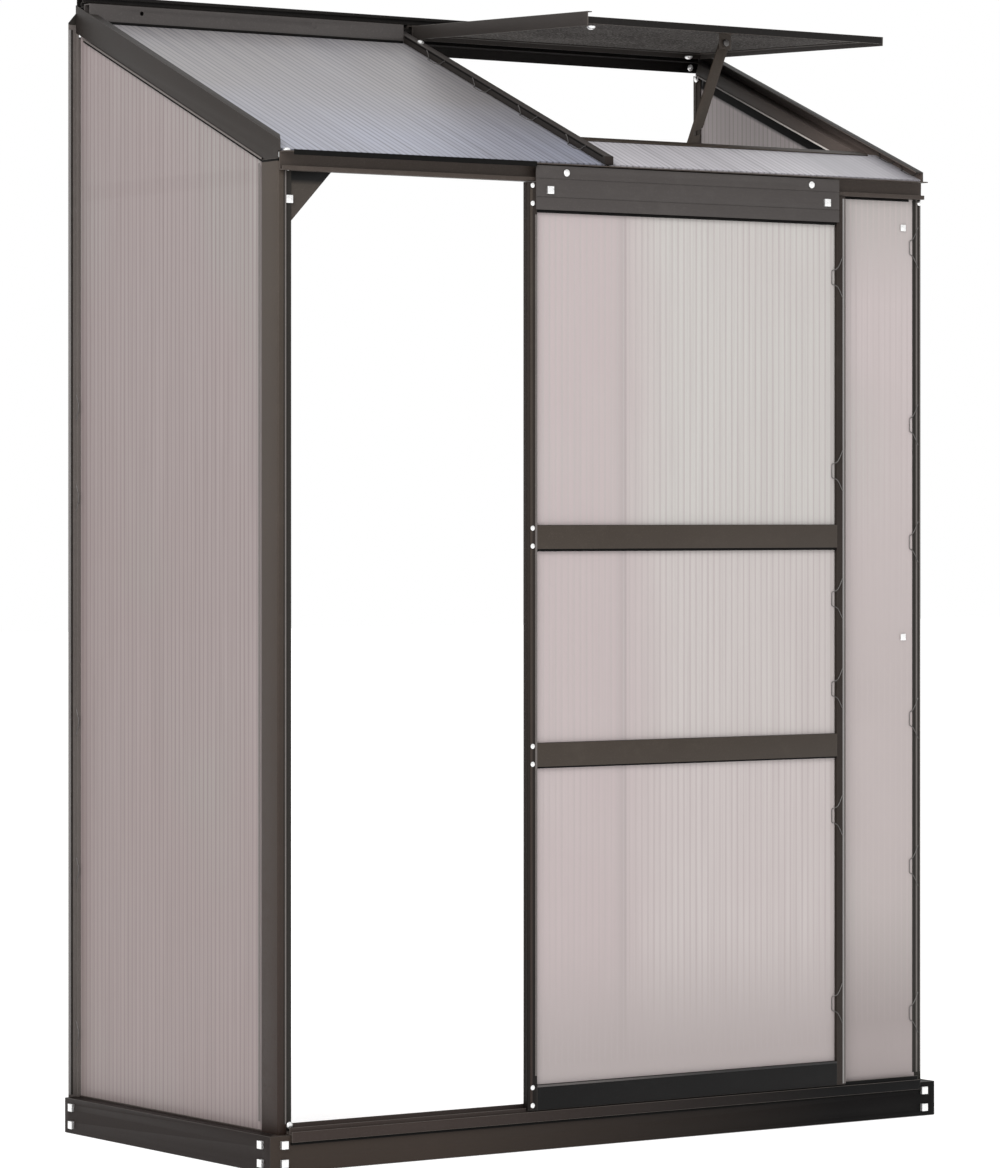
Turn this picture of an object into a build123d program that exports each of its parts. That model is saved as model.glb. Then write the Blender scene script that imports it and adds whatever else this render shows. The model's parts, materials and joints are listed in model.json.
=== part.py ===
from build123d import *
import os
from math import atan2, cos, pi, radians, sin, tan

# A lean-to greenhouse: a powder-coated aluminium frame on a steel base, glazed with twin-wall
# sheet, with a hung sliding door and a top-hinged roof vent on a notched stay.
# Millimetres. X runs along the wall, Y from the front (-) to the wall (+), Z up.
# The origin is on the ground, in the middle of the overall box.

# Overall sizes
BASE_WIDTH = 1300.0
BASE_DEPTH = 620.0
BASE_HEIGHT = 56.0
DRIP_OVERHANG = 10.0
FRAME_INSET = 20.0
FRAME_SETBACK = 10.0
EAVE_HEIGHT = 1545.0
ROOF_PITCH = 22.5
MIDDLE_X = -14.0

# Sheet, walls and clearances
SKIN = 1.6
PANE = 4.0
SEAT = 0.3
PANE_SLACK = 0.5
RUN_GAP = 0.06
CUT_OVER = 1.0

# Base rails, their corner angles and bolts
BASE_WALL = 2.0
BASE_SHELF = 48.0
BASE_FOOT = 20.0
ANGLE_LEG = 40.0
ANGLE_WALL = 2.0
BOLT_NECK = 6.0
BOLT_HOLE = 6.5
BOLT_HEAD_SIDE = 12.0
BOLT_HEAD = 5.0
NUT_R = 5.8
NUT = 5.0
BASE_BOLT_INSET = 24.0
BASE_BOLT_EDGE = 14.0
ANCHOR_HOLE_R = 4.0
ANCHOR_EDGE = 10.0

# Posts
POST_FACE = 15.0
POST_SIDE = 46.0
POST_CORNER_R = 3.0
POST_DROP = 11.0
JAMB_FIN = 12.0
PANE_LIP = 10.0
SIDE_REBATE = 4.5
REAR_POST_FACE = 12.0
REAR_POST_SIDE = 8.0
WALL_FLANGE = 14.0
WALL_FLANGE_DROP = 32.0
MIDDLE_POST_FACE = 20.0
MIDDLE_POST_SIDE = 38.0

# Sills
SILL_APRON_FRONT = 6.0
SILL_APRON_DROP = 11.0
SILL_APRON_RISE = 5.0
SILL_FRONT_WALL = 4.5
SILL_REAR_WALL = 16.0
SILL_RIB = 11.0
SIDE_SILL_OUTER = 3.0
SIDE_SILL_INNER = 12.0
SIDE_SILL_SET = 2.0

# Eave rail: drip lip, track and the channel that holds the fixed front pane
EAVE_END_GAP = 2.0
EAVE_WEB = 2.0
EAVE_TRACK_DROP = 29.0
EAVE_SKIRT = 5.0
EAVE_CHANNEL_DROP = 24.0
EAVE_INNER_RISE = 2.0

# Rafters, measured square to the roof from their top edge
PANE_DROP = 13.0
RAFTER_DEPTH = 41.0
RAFTER_TOP = 16.0
RAFTER_LEDGE = 26.0
RAFTER_NOSE = 5.0
RAFTER_SPARE = 40.0
SLOT_TOP = 30.0
SLOT_OUTER = 47.0
SLOT_INNER = 44.0
MIDDLE_BOX = 16.0
MIDDLE_LEDGE = 36.0
MIDDLE_DEPTH = 34.0
MIDDLE_FOOT = 10.0

# Wall bar and the vent hinge in its top
WALL_BAR_DEPTH = 23.6
WALL_BAR_APRON = 46.0
WALL_BAR_CROWN = 15.6
CROWN_REACH = 24.0
CROWN_LIP = 5.0
HINGE_SET = 18.0
HINGE_RISE = 7.0
HINGE_BEAD_R = 3.5
HINGE_MOUTH_LOW = -46.0
HINGE_MOUTH_HIGH = 34.0
WALL_HOLE_R = 3.5
WALL_HOLE_INNER = 200.0
WALL_HOLE_END = 99.0
WALL_HOLE_DROP = 26.6

# Ridge cover over the top edge of the fixed roof pane
COVER_REACH = 42.0
COVER_KICK = 0.8
COVER_KICK_HEIGHT = 7.0

# Ties, brace and gussets
TIE_DROP = 20.0
TIE_HEIGHT = 25.0
TIE_LEG = 14.0
BRACE_LEVEL = 783.0
BRACE_HEIGHT = 20.0
BRACE_LEG = 14.0
GUSSET_WIDE = 91.0
GUSSET_TALL = 96.0
GUSSET_WALL = 2.0
GUSSET_BOLT_DROP = 50.0
FIN_BOLT_INSET = 7.0
FIN_BOLT_HEAD = 3.5

# Sliding door
DOOR_WIDTH = 636.0
DOOR_OPEN_X = -178.0
DOOR_DEPTH = 12.0
DOOR_GAP = 1.0
DOOR_LIFT = 7.0
STILE_DROP = 30.3
STILE = 18.0
STILE_CORNER_R = 2.5
DOOR_LIP = 8.0
DOOR_BOTTOM_RAIL = 39.0
DOOR_LOWER_LEVEL = 600.0
DOOR_UPPER_LEVEL = 941.0
DOOR_RAIL = 37.0
GLIDE_HEIGHT = 11.0
GLIDE_LENGTH = 40.0
GLIDE_INSET = 26.0
HEADER_DROP = 73.0
HEADER_BOX = 41.5
HEADER_HEIGHT = 69.5
HEADER_PLATE = 2.0
HEADER_LAP = 3.0
HEADER_GROOVE_LOW = 20.0
HEADER_GROOVE_HIGH = 49.0
HEADER_GROOVE = 0.8
CLEAT_LEG = 40.0
CLEAT_HEIGHT = 36.0
HEADER_BOLT_INSET = 26.0
HEADER_BOLT_RISE = 31.0
HEADER_BOLT_HEAD = 3.2

# Door rollers
AXLE_DROP = 14.0
AXLE_INSET = 58.0
AXLE_R = 3.0
AXLE_HEAD_R = 4.8
AXLE_HEAD = 3.0
ROLLER_RIM_R = 11.0
ROLLER_GROOVE_R = 8.0
ROLLER_WIDTH = 6.4
ROLLER_GROOVE = 2.8
ROLLER_FLARE = 0.6

# Roof vent
VENT_MIDDLE_GAP = 14.0
VENT_SIDE_GAP = 22.0
VENT_OPEN_SLOPE = 1.85
VENT_RAIL = 23.3
VENT_NECK = 2.0
VENT_BACK = 16.0
VENT_LIP = 9.0
VENT_SHELF = 12.0
VENT_PANE_DROP = 10.15
VENT_FRONT_TOP = 8.4
VENT_FRONT_FOOT = 20.0

# Vent crossbar, stay and peg
CROSSBAR_UP = 119.9
CROSSBAR_GAP = 2.0
CROSSBAR_CAP = 9.0
CROSSBAR_LEDGE = 12.0
CROSSBAR_SEAT = 14.0
CROSSBAR_DEPTH = 42.0
STAY_X = 318.0
STAY_BRACKET = 24.0
STAY_BRACKET_REACH = 53.0
STAY_PIVOT_DROP = 32.0
STAY_PIVOT_R = 3.0
STAY_PIVOT_HEAD = 2.5
STAY_PIVOT_NUT = 4.0
STAY_WIDTH = 20.0
STAY_WALL = 2.5
STAY_TAIL = 16.0
STAY_NOTCHES = 2
STAY_NOTCH_PITCH = 36.0
STAY_NOTCH_R = 4.2
STAY_NOTCH_SLANT = 42.0
PEG_X = 250.0
PEG_R = 2.5
PEG_DEPTH = 33.0
PEG_LENGTH = 27.0
PEG_HEAD_R = 5.0
PEG_HEAD = 2.5

# Rivets in the door frame, faceted
RIVET_R = 2.0
RIVET_HEAD_R = 3.6
RIVET_HEAD = 1.6
RIVET_TAPER = 35.0
RIVET_LENGTH = 4.5
RIVET_SPREAD = 28.0
BOTTOM_RIVET_RISE = 22.0
HEADER_RIVET_RISE = 23.3
RIVET_SIDES = 8

# Places worked out from the sizes
PITCH = radians(ROOF_PITCH)
OVERALL_DEPTH = BASE_DEPTH + DRIP_OVERHANG
FRAME_WIDTH = BASE_WIDTH - 2 * FRAME_INSET
EAVE_LENGTH = FRAME_WIDTH - 2 * EAVE_END_GAP
WALL_Y = OVERALL_DEPTH / 2
BASE_FRONT_Y = WALL_Y - BASE_DEPTH
FRONT_Y = BASE_FRONT_Y + FRAME_SETBACK
DRIP_Y = -WALL_Y
SIDE_X = -FRAME_WIDTH / 2
POST_TOP = EAVE_HEIGHT - POST_DROP
FRONT_PANE_Y = FRONT_Y + SEAT
FIN_Y = FRONT_PANE_Y + PANE + SEAT
SIDE_PANE_X = SIDE_X + SIDE_REBATE
SIDE_LIP_X = SIDE_PANE_X + PANE + SEAT
SILL_TOP = BASE_HEIGHT + SKIN
UPSTAND_Y = FRONT_Y - SKIN
DOOR_FOOT = BASE_HEIGHT + DOOR_LIFT
DOOR_TOP = EAVE_HEIGHT - STILE_DROP
BOTTOM_RAIL_TOP = DOOR_FOOT + DOOR_BOTTOM_RAIL
GLIDE_ROOF = DOOR_FOOT + GLIDE_HEIGHT
HEADER_BOTTOM = EAVE_HEIGHT - HEADER_DROP
AXLE_Z = EAVE_HEIGHT - AXLE_DROP
DOOR_BACK_Y = UPSTAND_Y - DOOR_GAP
DOOR_FRONT_Y = DOOR_BACK_Y - DOOR_DEPTH
DOOR_MIDDLE_Y = (DOOR_BACK_Y + DOOR_FRONT_Y) / 2
DOOR_LIP_Y = DOOR_BACK_Y - SKIN
PLATE_Y = DOOR_FRONT_Y - HEADER_PLATE
DOOR_END_X = DOOR_OPEN_X + DOOR_WIDTH
RAIL_X = (DOOR_OPEN_X + STILE, DOOR_END_X - STILE)
HEADER_X = (RAIL_X[0] - HEADER_LAP, RAIL_X[1] + HEADER_LAP)
ROLLER_Y = DOOR_FRONT_Y + SKIN + ROLLER_WIDTH / 2
TRACK_TOP = AXLE_Z - ROLLER_GROOVE_R - SEAT
TRACK_FLOOR = EAVE_HEIGHT - EAVE_TRACK_DROP
TIE_TOP = EAVE_HEIGHT - TIE_DROP
PANE_FOOT = PANE_DROP + PANE
ROOF_Z = EAVE_HEIGHT + SEAT + PANE_FOOT / cos(PITCH)
WALL_BAR_Y = WALL_Y - WALL_BAR_DEPTH
COVER_Y = WALL_Y - COVER_REACH


def rafter_top(y):
    """Height of the rafters' top edge at a distance from the front."""
    return ROOF_Z + (y - FRONT_Y) * tan(PITCH)


HINGE_Y = WALL_Y - HINGE_SET
HINGE_Z = rafter_top(HINGE_Y) + HINGE_RISE
CROWN_Z = HINGE_Z + WALL_BAR_CROWN

# Drawing planes: on the roof, up the slope and across it, and on the open vent
UP_SLOPE = Vector(0, cos(PITCH), sin(PITCH))
ROOF_ORIGIN = Vector(0, FRONT_Y, ROOF_Z)
ROOF_RUN = Plane(origin=ROOF_ORIGIN, x_dir=(1, 0, 0), z_dir=UP_SLOPE)
ROOF_SIDE = Plane(origin=ROOF_ORIGIN, x_dir=UP_SLOPE, z_dir=(1, 0, 0))
HINGE = Vector(0, HINGE_Y, HINGE_Z)
HINGE_UP = (HINGE - ROOF_ORIGIN).dot(UP_SLOPE)
VENT_LENGTH = HINGE_UP - CROSSBAR_UP - CROSSBAR_GAP - SKIN
VENT_X = (MIDDLE_X + VENT_MIDDLE_GAP, FRAME_WIDTH / 2 - VENT_SIDE_GAP)
OPEN = radians(VENT_OPEN_SLOPE)
VENT_OUT = Vector(0, -cos(OPEN), -sin(OPEN))
VENT_UP = Vector(0, -sin(OPEN), cos(OPEN))
VENT_RUN = Plane(origin=HINGE, x_dir=(1, 0, 0), z_dir=VENT_OUT)
VENT_SIDE = Plane(origin=HINGE, x_dir=VENT_OUT, z_dir=(-1, 0, 0))


def rect(a0, b0, a1, b1):
    """A rectangle from one corner to the other."""
    return Pos((a0 + a1) / 2, (b0 + b1) / 2) * Rectangle(abs(a1 - a0), abs(b1 - b0))


def along(plane, profile, start, end):
    """A bar: the profile, drawn on the plane, run from one station to another along its normal."""
    return extrude(plane.offset(start) * profile, amount=end - start)


def along_x(profile, x0, x1):
    return along(Plane.YZ, profile, x0, x1)


def along_y(profile, y0, y1):
    return along(Plane.XZ, profile, -y1, -y0)


def along_z(profile, z0, z1):
    return along(Plane.XY, profile, z0, z1)


def block(x0, x1, y0, y1, z0, z1):
    """A box between limits, for notches and cuts."""
    return along_z(rect(x0, y0, x1, y1), z0, z1)


def hollow(a0, b0, a1, b1, wall=SKIN):
    """A hollow rectangular section."""
    return rect(a0, b0, a1, b1) - rect(a0 + wall, b0 + wall, a1 - wall, b1 - wall)


def rod(point, direction, radius, length):
    """A round rod that starts at a point and runs along a direction."""
    return extrude(Plane(origin=point, z_dir=direction) * Circle(radius), amount=length)


def hexagon(point, direction, radius, length):
    """A hexagonal prism, for bolt heads and nuts."""
    return extrude(Plane(origin=point, z_dir=direction) * RegularPolygon(radius, 6), amount=length)


def neck(point, direction, side, length):
    """A square bar that starts at a point and runs along a direction."""
    return extrude(Plane(origin=point, z_dir=direction) * Rectangle(side, side), amount=length)


def bolt(point, direction, grip, head=BOLT_HEAD):
    """A square-necked lock bolt: its head on a face, its collar swaged on past the grip."""
    out = Vector(*direction)
    face = Vector(*point)
    collar = hexagon(face - out * grip, -out, NUT_R, NUT)
    return neck(face, out, BOLT_HEAD_SIDE, head) + neck(face, -out, BOLT_NECK, grip) + collar


def rivet(point, direction):
    """A faceted rivet on a face."""
    out = Vector(*direction)
    face = Vector(*point)
    head = RegularPolygon(RIVET_HEAD_R, RIVET_SIDES)
    body = extrude(Plane(origin=face, z_dir=out) * head, amount=RIVET_HEAD, taper=RIVET_TAPER)
    shank = RegularPolygon(RIVET_R, RIVET_SIDES)
    return body + extrude(Plane(origin=face, z_dir=-out) * shank, amount=RIVET_LENGTH)


def drill(piece, points, direction, radius, depth):
    """The piece with a round hole at each point."""
    back = Vector(*direction) * CUT_OVER
    for point in points:
        piece -= rod(Vector(*point) - back, direction, radius, depth + 2 * CUT_OVER)
    return piece


def punch(piece, points, direction, depth):
    """The piece with a square bolt hole at each point."""
    back = Vector(*direction) * CUT_OVER
    for point in points:
        piece -= neck(Vector(*point) - back, direction, BOLT_HOLE, depth + 2 * CUT_OVER)
    return piece


def mirrored(piece):
    return mirror(piece, about=Plane.YZ)


# Base: three rolled channels, mitred at the front corners
def base_channel(outer, inward):
    """Channel section from its outer face inwards: web, top shelf and foot."""
    web = rect(outer, 0, outer + inward * BASE_WALL, BASE_HEIGHT)
    shelf = rect(outer, BASE_HEIGHT - BASE_WALL, outer + inward * BASE_SHELF, BASE_HEIGHT)
    foot = rect(outer, 0, outer + inward * BASE_FOOT, BASE_WALL)
    return web + shelf + foot


def mitre(x_sign, keep_front):
    """The wedge that a front corner loses to the other rail."""
    corner = (x_sign * BASE_WIDTH / 2, BASE_FRONT_Y)
    reach = BASE_SHELF + BASE_WALL
    inner = (corner[0] - x_sign * reach, corner[1] + reach)
    side = (corner[0], inner[1]) if keep_front else (inner[0], corner[1])
    return along_z(make_face(Polyline(corner, side, inner, close=True)), -CUT_OVER, BASE_HEIGHT + CUT_OVER)


def bolt_levels():
    return (BASE_BOLT_EDGE, BASE_HEIGHT - BASE_BOLT_EDGE)


def front_bolt_points(x_sign):
    x = x_sign * (BASE_WIDTH / 2 - BASE_BOLT_INSET)
    return [(x, BASE_FRONT_Y, z) for z in bolt_levels()]


def side_bolt_points(x_sign, rows):
    x = x_sign * BASE_WIDTH / 2
    return [(x, y, z) for y in rows for z in bolt_levels()]


FRONT_BOLT_ROW = BASE_FRONT_Y + BASE_BOLT_INSET
REAR_BOLT_ROW = WALL_Y - BASE_BOLT_INSET
BASE_GRIP = BASE_WALL + ANGLE_WALL


def base_front():
    rail = along_x(base_channel(BASE_FRONT_Y, 1), -BASE_WIDTH / 2, BASE_WIDTH / 2)
    for x_sign in (-1, 1):
        rail -= mitre(x_sign, True)
        rail = punch(rail, front_bolt_points(x_sign), (0, 1, 0), BASE_WALL)
    return rail


def base_left():
    rail = along_y(base_channel(-BASE_WIDTH / 2, 1), BASE_FRONT_Y, WALL_Y) - mitre(-1, False)
    points = side_bolt_points(-1, (FRONT_BOLT_ROW, REAR_BOLT_ROW))
    return punch(rail, points, (1, 0, 0), BASE_WALL)


def base_angle(x_sign, corner_y, y_sign):
    """An angle inside a base corner, against both webs, or against one web and the wall."""
    web_x = x_sign * (BASE_WIDTH / 2 - BASE_WALL)
    side = rect(web_x, corner_y, web_x - x_sign * ANGLE_WALL, corner_y + y_sign * ANGLE_LEG)
    end = rect(web_x, corner_y, web_x - x_sign * ANGLE_LEG, corner_y + y_sign * ANGLE_WALL)
    angle = along_z(side + end, BASE_WALL + SEAT, BASE_HEIGHT - BASE_WALL - SEAT)
    row = FRONT_BOLT_ROW if y_sign > 0 else REAR_BOLT_ROW
    holes = [(web_x - ANGLE_WALL, row, z) for z in bolt_levels()]
    angle = punch(angle, holes, (1, 0, 0), 2 * ANGLE_WALL)
    if y_sign > 0:
        return punch(angle, front_bolt_points(x_sign), (0, 1, 0), BASE_GRIP)
    anchor = (x_sign * anchor_x(), corner_y - ANGLE_WALL, BASE_HEIGHT / 2)
    return drill(angle, [anchor], (0, 1, 0), ANCHOR_HOLE_R, ANGLE_WALL)


def anchor_x():
    return BASE_WIDTH / 2 - BASE_WALL - ANGLE_LEG + ANCHOR_EDGE


def base_angles():
    front_web_y = BASE_FRONT_Y + BASE_WALL
    return [base_angle(x, y, s) for x in (-1, 1) for y, s in ((front_web_y, 1), (WALL_Y, -1))]


def base_bolts():
    bolts = []
    for x_sign in (-1, 1):
        for point in front_bolt_points(x_sign):
            bolts.append(bolt(point, (0, -1, 0), BASE_GRIP))
        for point in side_bolt_points(x_sign, (FRONT_BOLT_ROW, REAR_BOLT_ROW)):
            bolts.append(bolt(point, (x_sign, 0, 0), BASE_GRIP))
    return bolts


# Sills: the door's bottom guide along the front, and a glazing channel on each side
SILL_END_X = FRAME_WIDTH / 2 - POST_FACE - SEAT
APRON_Y = BASE_FRONT_Y - SILL_APRON_FRONT
MIDDLE_BACK_Y = FRONT_Y + MIDDLE_POST_SIDE


def front_sill():
    apron_foot = BASE_HEIGHT - SILL_APRON_DROP
    apron = rect(APRON_Y, apron_foot, APRON_Y + SKIN, BASE_HEIGHT + SILL_APRON_RISE)
    floor = rect(APRON_Y, BASE_HEIGHT, MIDDLE_BACK_Y, SILL_TOP)
    rib = rect(DOOR_MIDDLE_Y - SKIN / 2, SILL_TOP, DOOR_MIDDLE_Y + SKIN / 2, BASE_HEIGHT + SILL_RIB)
    front = rect(UPSTAND_Y, SILL_TOP, FRONT_Y, BASE_HEIGHT + SILL_FRONT_WALL)
    rear_y = FIN_Y + SKIN + SEAT
    rear = rect(rear_y, SILL_TOP, rear_y + SKIN, BASE_HEIGHT + SILL_REAR_WALL)
    sill = along_x(apron + floor + rib + front + rear, -SILL_END_X, SILL_END_X)
    half = MIDDLE_POST_FACE / 2 + SEAT
    return sill - block(MIDDLE_X - half, MIDDLE_X + half, FRONT_Y, WALL_Y, SILL_TOP, EAVE_HEIGHT)


POST_BACK_Y = FRONT_Y + POST_SIDE
REAR_POST_Y = WALL_Y - REAR_POST_SIDE


def left_sill():
    outer_x = SIDE_X + SIDE_SILL_SET
    floor = rect(outer_x, BASE_HEIGHT, SIDE_LIP_X + SKIN, SILL_TOP)
    outer = rect(outer_x, SILL_TOP, outer_x + SKIN, BASE_HEIGHT + SIDE_SILL_OUTER)
    inner = rect(SIDE_LIP_X, SILL_TOP, SIDE_LIP_X + SKIN, BASE_HEIGHT + SIDE_SILL_INNER)
    return along_y(floor + outer + inner, POST_BACK_Y, REAR_POST_Y)


# Posts: hollow extrusions with a fin for the front plane and a lip for the side pane
def side_lip(y0, y1):
    return rect(SIDE_LIP_X, y0, SIDE_LIP_X + SKIN, y1)


def side_sill_room():
    """The space that the posts' lips leave for the side sill."""
    top = BASE_HEIGHT + SIDE_SILL_INNER + SEAT
    foot = BASE_HEIGHT - CUT_OVER
    return block(SIDE_X, SIDE_LIP_X + 2 * SKIN, POST_BACK_Y, REAR_POST_Y, foot, top)


def gusset_top():
    return EAVE_HEIGHT - EAVE_CHANNEL_DROP + EAVE_INNER_RISE


def gusset_bolt_z():
    return gusset_top() - GUSSET_BOLT_DROP


FIN_X = SIDE_X + POST_FACE + JAMB_FIN
FIN_BOLT_X = SIDE_X + POST_FACE + FIN_BOLT_INSET


def front_left_post():
    inner_x = SIDE_X + POST_FACE
    shell = rect(SIDE_X, FRONT_Y, inner_x, POST_BACK_Y)
    corner = shell.vertices().sort_by(lambda v: v.X + v.Y)[0]
    shell = fillet(corner, radius=POST_CORNER_R)
    core = rect(SIDE_X + SKIN, FRONT_Y + SKIN, inner_x - SKIN, POST_BACK_Y - SKIN)
    fin = rect(inner_x, FIN_Y, FIN_X, FIN_Y + SKIN)
    section = shell - core + fin + side_lip(POST_BACK_Y, POST_BACK_Y + PANE_LIP)
    post = along_z(section, BASE_HEIGHT, POST_TOP) - side_sill_room()
    post -= block(inner_x, FIN_X + CUT_OVER, FRONT_Y, POST_BACK_Y, BASE_HEIGHT - CUT_OVER, SILL_TOP)
    return punch(post, [(FIN_BOLT_X, FIN_Y, gusset_bolt_z())], (0, 1, 0), SKIN)


def front_right_post():
    post = mirrored(front_left_post())
    point = (-FIN_BOLT_X, FIN_Y, BRACE_LEVEL + BRACE_HEIGHT / 2)
    return punch(post, [point], (0, 1, 0), SKIN)


def under_roof(depth):
    """Everything deeper than a depth below the rafters' top edge, for trimming posts and panes."""
    far = 4 * OVERALL_DEPTH
    return along(ROOF_SIDE, rect(-far, -depth - far, far, -depth), -BASE_WIDTH, BASE_WIDTH)


def rear_left_post():
    wall_y = WALL_Y - SKIN
    section = hollow(SIDE_X, REAR_POST_Y, SIDE_X + REAR_POST_FACE, WALL_Y)
    section += side_lip(REAR_POST_Y - PANE_LIP, REAR_POST_Y)
    post = along_z(section, BASE_HEIGHT, CROWN_Z) & under_roof(SLOT_OUTER + SEAT)
    outer = rect(SIDE_X, REAR_POST_Y, SIDE_X + SKIN, WALL_Y)
    post += along_z(outer, EAVE_HEIGHT, CROWN_Z) & under_roof(RAFTER_DEPTH + SEAT)
    flange = rect(SIDE_X - WALL_FLANGE, wall_y, SIDE_X, WALL_Y)
    post += along_z(flange, BASE_HEIGHT, rafter_top(WALL_Y) - WALL_FLANGE_DROP)
    return post - side_sill_room()


def middle_post():
    x0 = MIDDLE_X - MIDDLE_POST_FACE / 2
    x1 = MIDDLE_X + MIDDLE_POST_FACE / 2
    section = hollow(x0, FRONT_Y, x1, MIDDLE_BACK_Y)
    section += rect(x0 - JAMB_FIN, FIN_Y, x0, FIN_Y + SKIN) + rect(x1, FIN_Y, x1 + JAMB_FIN, FIN_Y + SKIN)
    return along_z(section, SILL_TOP, EAVE_HEIGHT - EAVE_CHANNEL_DROP - EAVE_SKIRT - SEAT)


# Eave rail: drip lip on top, roller track in front, pane channel below
def eave_rail():
    channel_z = EAVE_HEIGHT - EAVE_CHANNEL_DROP
    skirt_z = channel_z - EAVE_SKIRT
    web = rect(FRONT_Y - EAVE_WEB, skirt_z, FRONT_Y, EAVE_HEIGHT)
    lip = rect(DRIP_Y, EAVE_HEIGHT - SKIN, FRONT_Y, EAVE_HEIGHT)
    track_y = ROLLER_Y - SKIN / 2
    tray = rect(track_y, TRACK_FLOOR, FRONT_Y, TRACK_FLOOR + SKIN)
    track = rect(track_y, TRACK_FLOOR, track_y + SKIN, TRACK_TOP)
    shelf = rect(FRONT_Y, channel_z, FIN_Y + SKIN, channel_z + SKIN)
    inner = rect(FIN_Y, skirt_z, FIN_Y + SKIN, gusset_top())
    rail = along_x(web + lip + tray + track + shelf + inner, -EAVE_LENGTH / 2, EAVE_LENGTH / 2)
    for x_sign in (-1, 1):
        notch_x = -x_sign * (FIN_X + SEAT)
        end_x = x_sign * BASE_WIDTH
        rail -= block(notch_x, end_x, FRONT_Y, 0, skirt_z - CUT_OVER, EAVE_HEIGHT + CUT_OVER)
    return rail


# Rafters: sections drawn across X and down from the top edge, run up the slope
def outer_rafter_section():
    def down(u0, depth0, u1, depth1):
        return rect(SIDE_X + u0, depth0, SIDE_X + u1, depth1)

    ledge = PANE_FOOT + SEAT
    inner = SIDE_LIP_X - SIDE_X
    outer = SIDE_PANE_X - SIDE_X - SEAT
    web = down(0, 0, SKIN, RAFTER_DEPTH)
    section = web + down(0, 0, RAFTER_TOP, SKIN) + down(0, ledge, RAFTER_LEDGE, ledge + SKIN)
    section += down(0, SLOT_TOP, inner + SKIN, SLOT_TOP + SKIN)
    section += down(outer - SKIN, SLOT_TOP, outer, SLOT_OUTER)
    return section + down(inner, SLOT_TOP, inner + SKIN, SLOT_INNER)


def middle_rafter_section():
    def down(half, depth0, depth1):
        return rect(MIDDLE_X - half, depth0, MIDDLE_X + half, depth1)

    half = MIDDLE_BOX / 2
    box_foot = PANE_DROP - SEAT
    ledge = PANE_FOOT + SEAT
    section = hollow(MIDDLE_X - half, 0, MIDDLE_X + half, box_foot)
    section += down(SKIN / 2, box_foot - SKIN, MIDDLE_DEPTH) + down(MIDDLE_LEDGE / 2, ledge, ledge + SKIN)
    return section + down(MIDDLE_FOOT / 2, MIDDLE_DEPTH - SKIN, MIDDLE_DEPTH)


def trim_rafter(bar):
    """Cut plumb past the eave, over the drip lip, and plumb at the wall."""
    far = 2 * OVERALL_DEPTH
    nose_y = FRONT_Y - RAFTER_NOSE
    bar -= block(-BASE_WIDTH, BASE_WIDTH, -far, nose_y, 0, 2 * EAVE_HEIGHT)
    bar -= block(-BASE_WIDTH, BASE_WIDTH, -far, FRONT_Y + SEAT, 0, EAVE_HEIGHT + SEAT)
    return bar - block(-BASE_WIDTH, BASE_WIDTH, WALL_Y, far, 0, 2 * EAVE_HEIGHT)


def outer_rafter(end_y):
    """Left rafter, with everything inside its web cut off short of the wall bar or the ridge cover."""
    bar = trim_rafter(along(ROOF_RUN, outer_rafter_section(), -RAFTER_SPARE, 2 * OVERALL_DEPTH))
    bar -= block(SIDE_X - CUT_OVER, 0, -OVERALL_DEPTH, POST_BACK_Y + SEAT, 0, POST_TOP)
    return bar - block(SIDE_X + SKIN, 0, end_y, OVERALL_DEPTH, 0, 2 * EAVE_HEIGHT)


def middle_rafter():
    bar = trim_rafter(along(ROOF_RUN, middle_rafter_section(), -RAFTER_SPARE, 2 * OVERALL_DEPTH))
    return bar - block(-BASE_WIDTH, BASE_WIDTH, WALL_BAR_Y, OVERALL_DEPTH, 0, 2 * EAVE_HEIGHT)


# Wall bar: a hooded channel screwed to the wall, with the vent's hinge groove along its top
def pane_foot_z(y):
    return rafter_top(y) - PANE_FOOT / cos(PITCH)


def pane_top_z(y):
    return pane_foot_z(y) + PANE / cos(PITCH)


WALL_BAR_END_X = FRAME_WIDTH / 2 - SKIN - SEAT


def wall_hole_points(y):
    holes = (WALL_HOLE_INNER, FRAME_WIDTH / 2 - WALL_HOLE_END)
    return [(s * x, y, CROWN_Z - WALL_HOLE_DROP) for s in (-1, 1) for x in holes]


def hinge_groove():
    """A C section round the hinge bead, with its mouth towards the front."""
    bore = HINGE_BEAD_R + RUN_GAP
    groove = Circle(bore + SKIN) - Circle(bore)
    reach = 3 * (bore + SKIN)
    low = radians(HINGE_MOUTH_LOW)
    high = radians(HINGE_MOUTH_HIGH)
    mouth = make_face(Polyline((0, 0), (-reach * cos(low), reach * sin(low)), (-reach * 2, 0),
                               (-reach * cos(high), reach * sin(high)), close=True))
    return Pos(HINGE_Y, HINGE_Z) * (groove - mouth)


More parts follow.
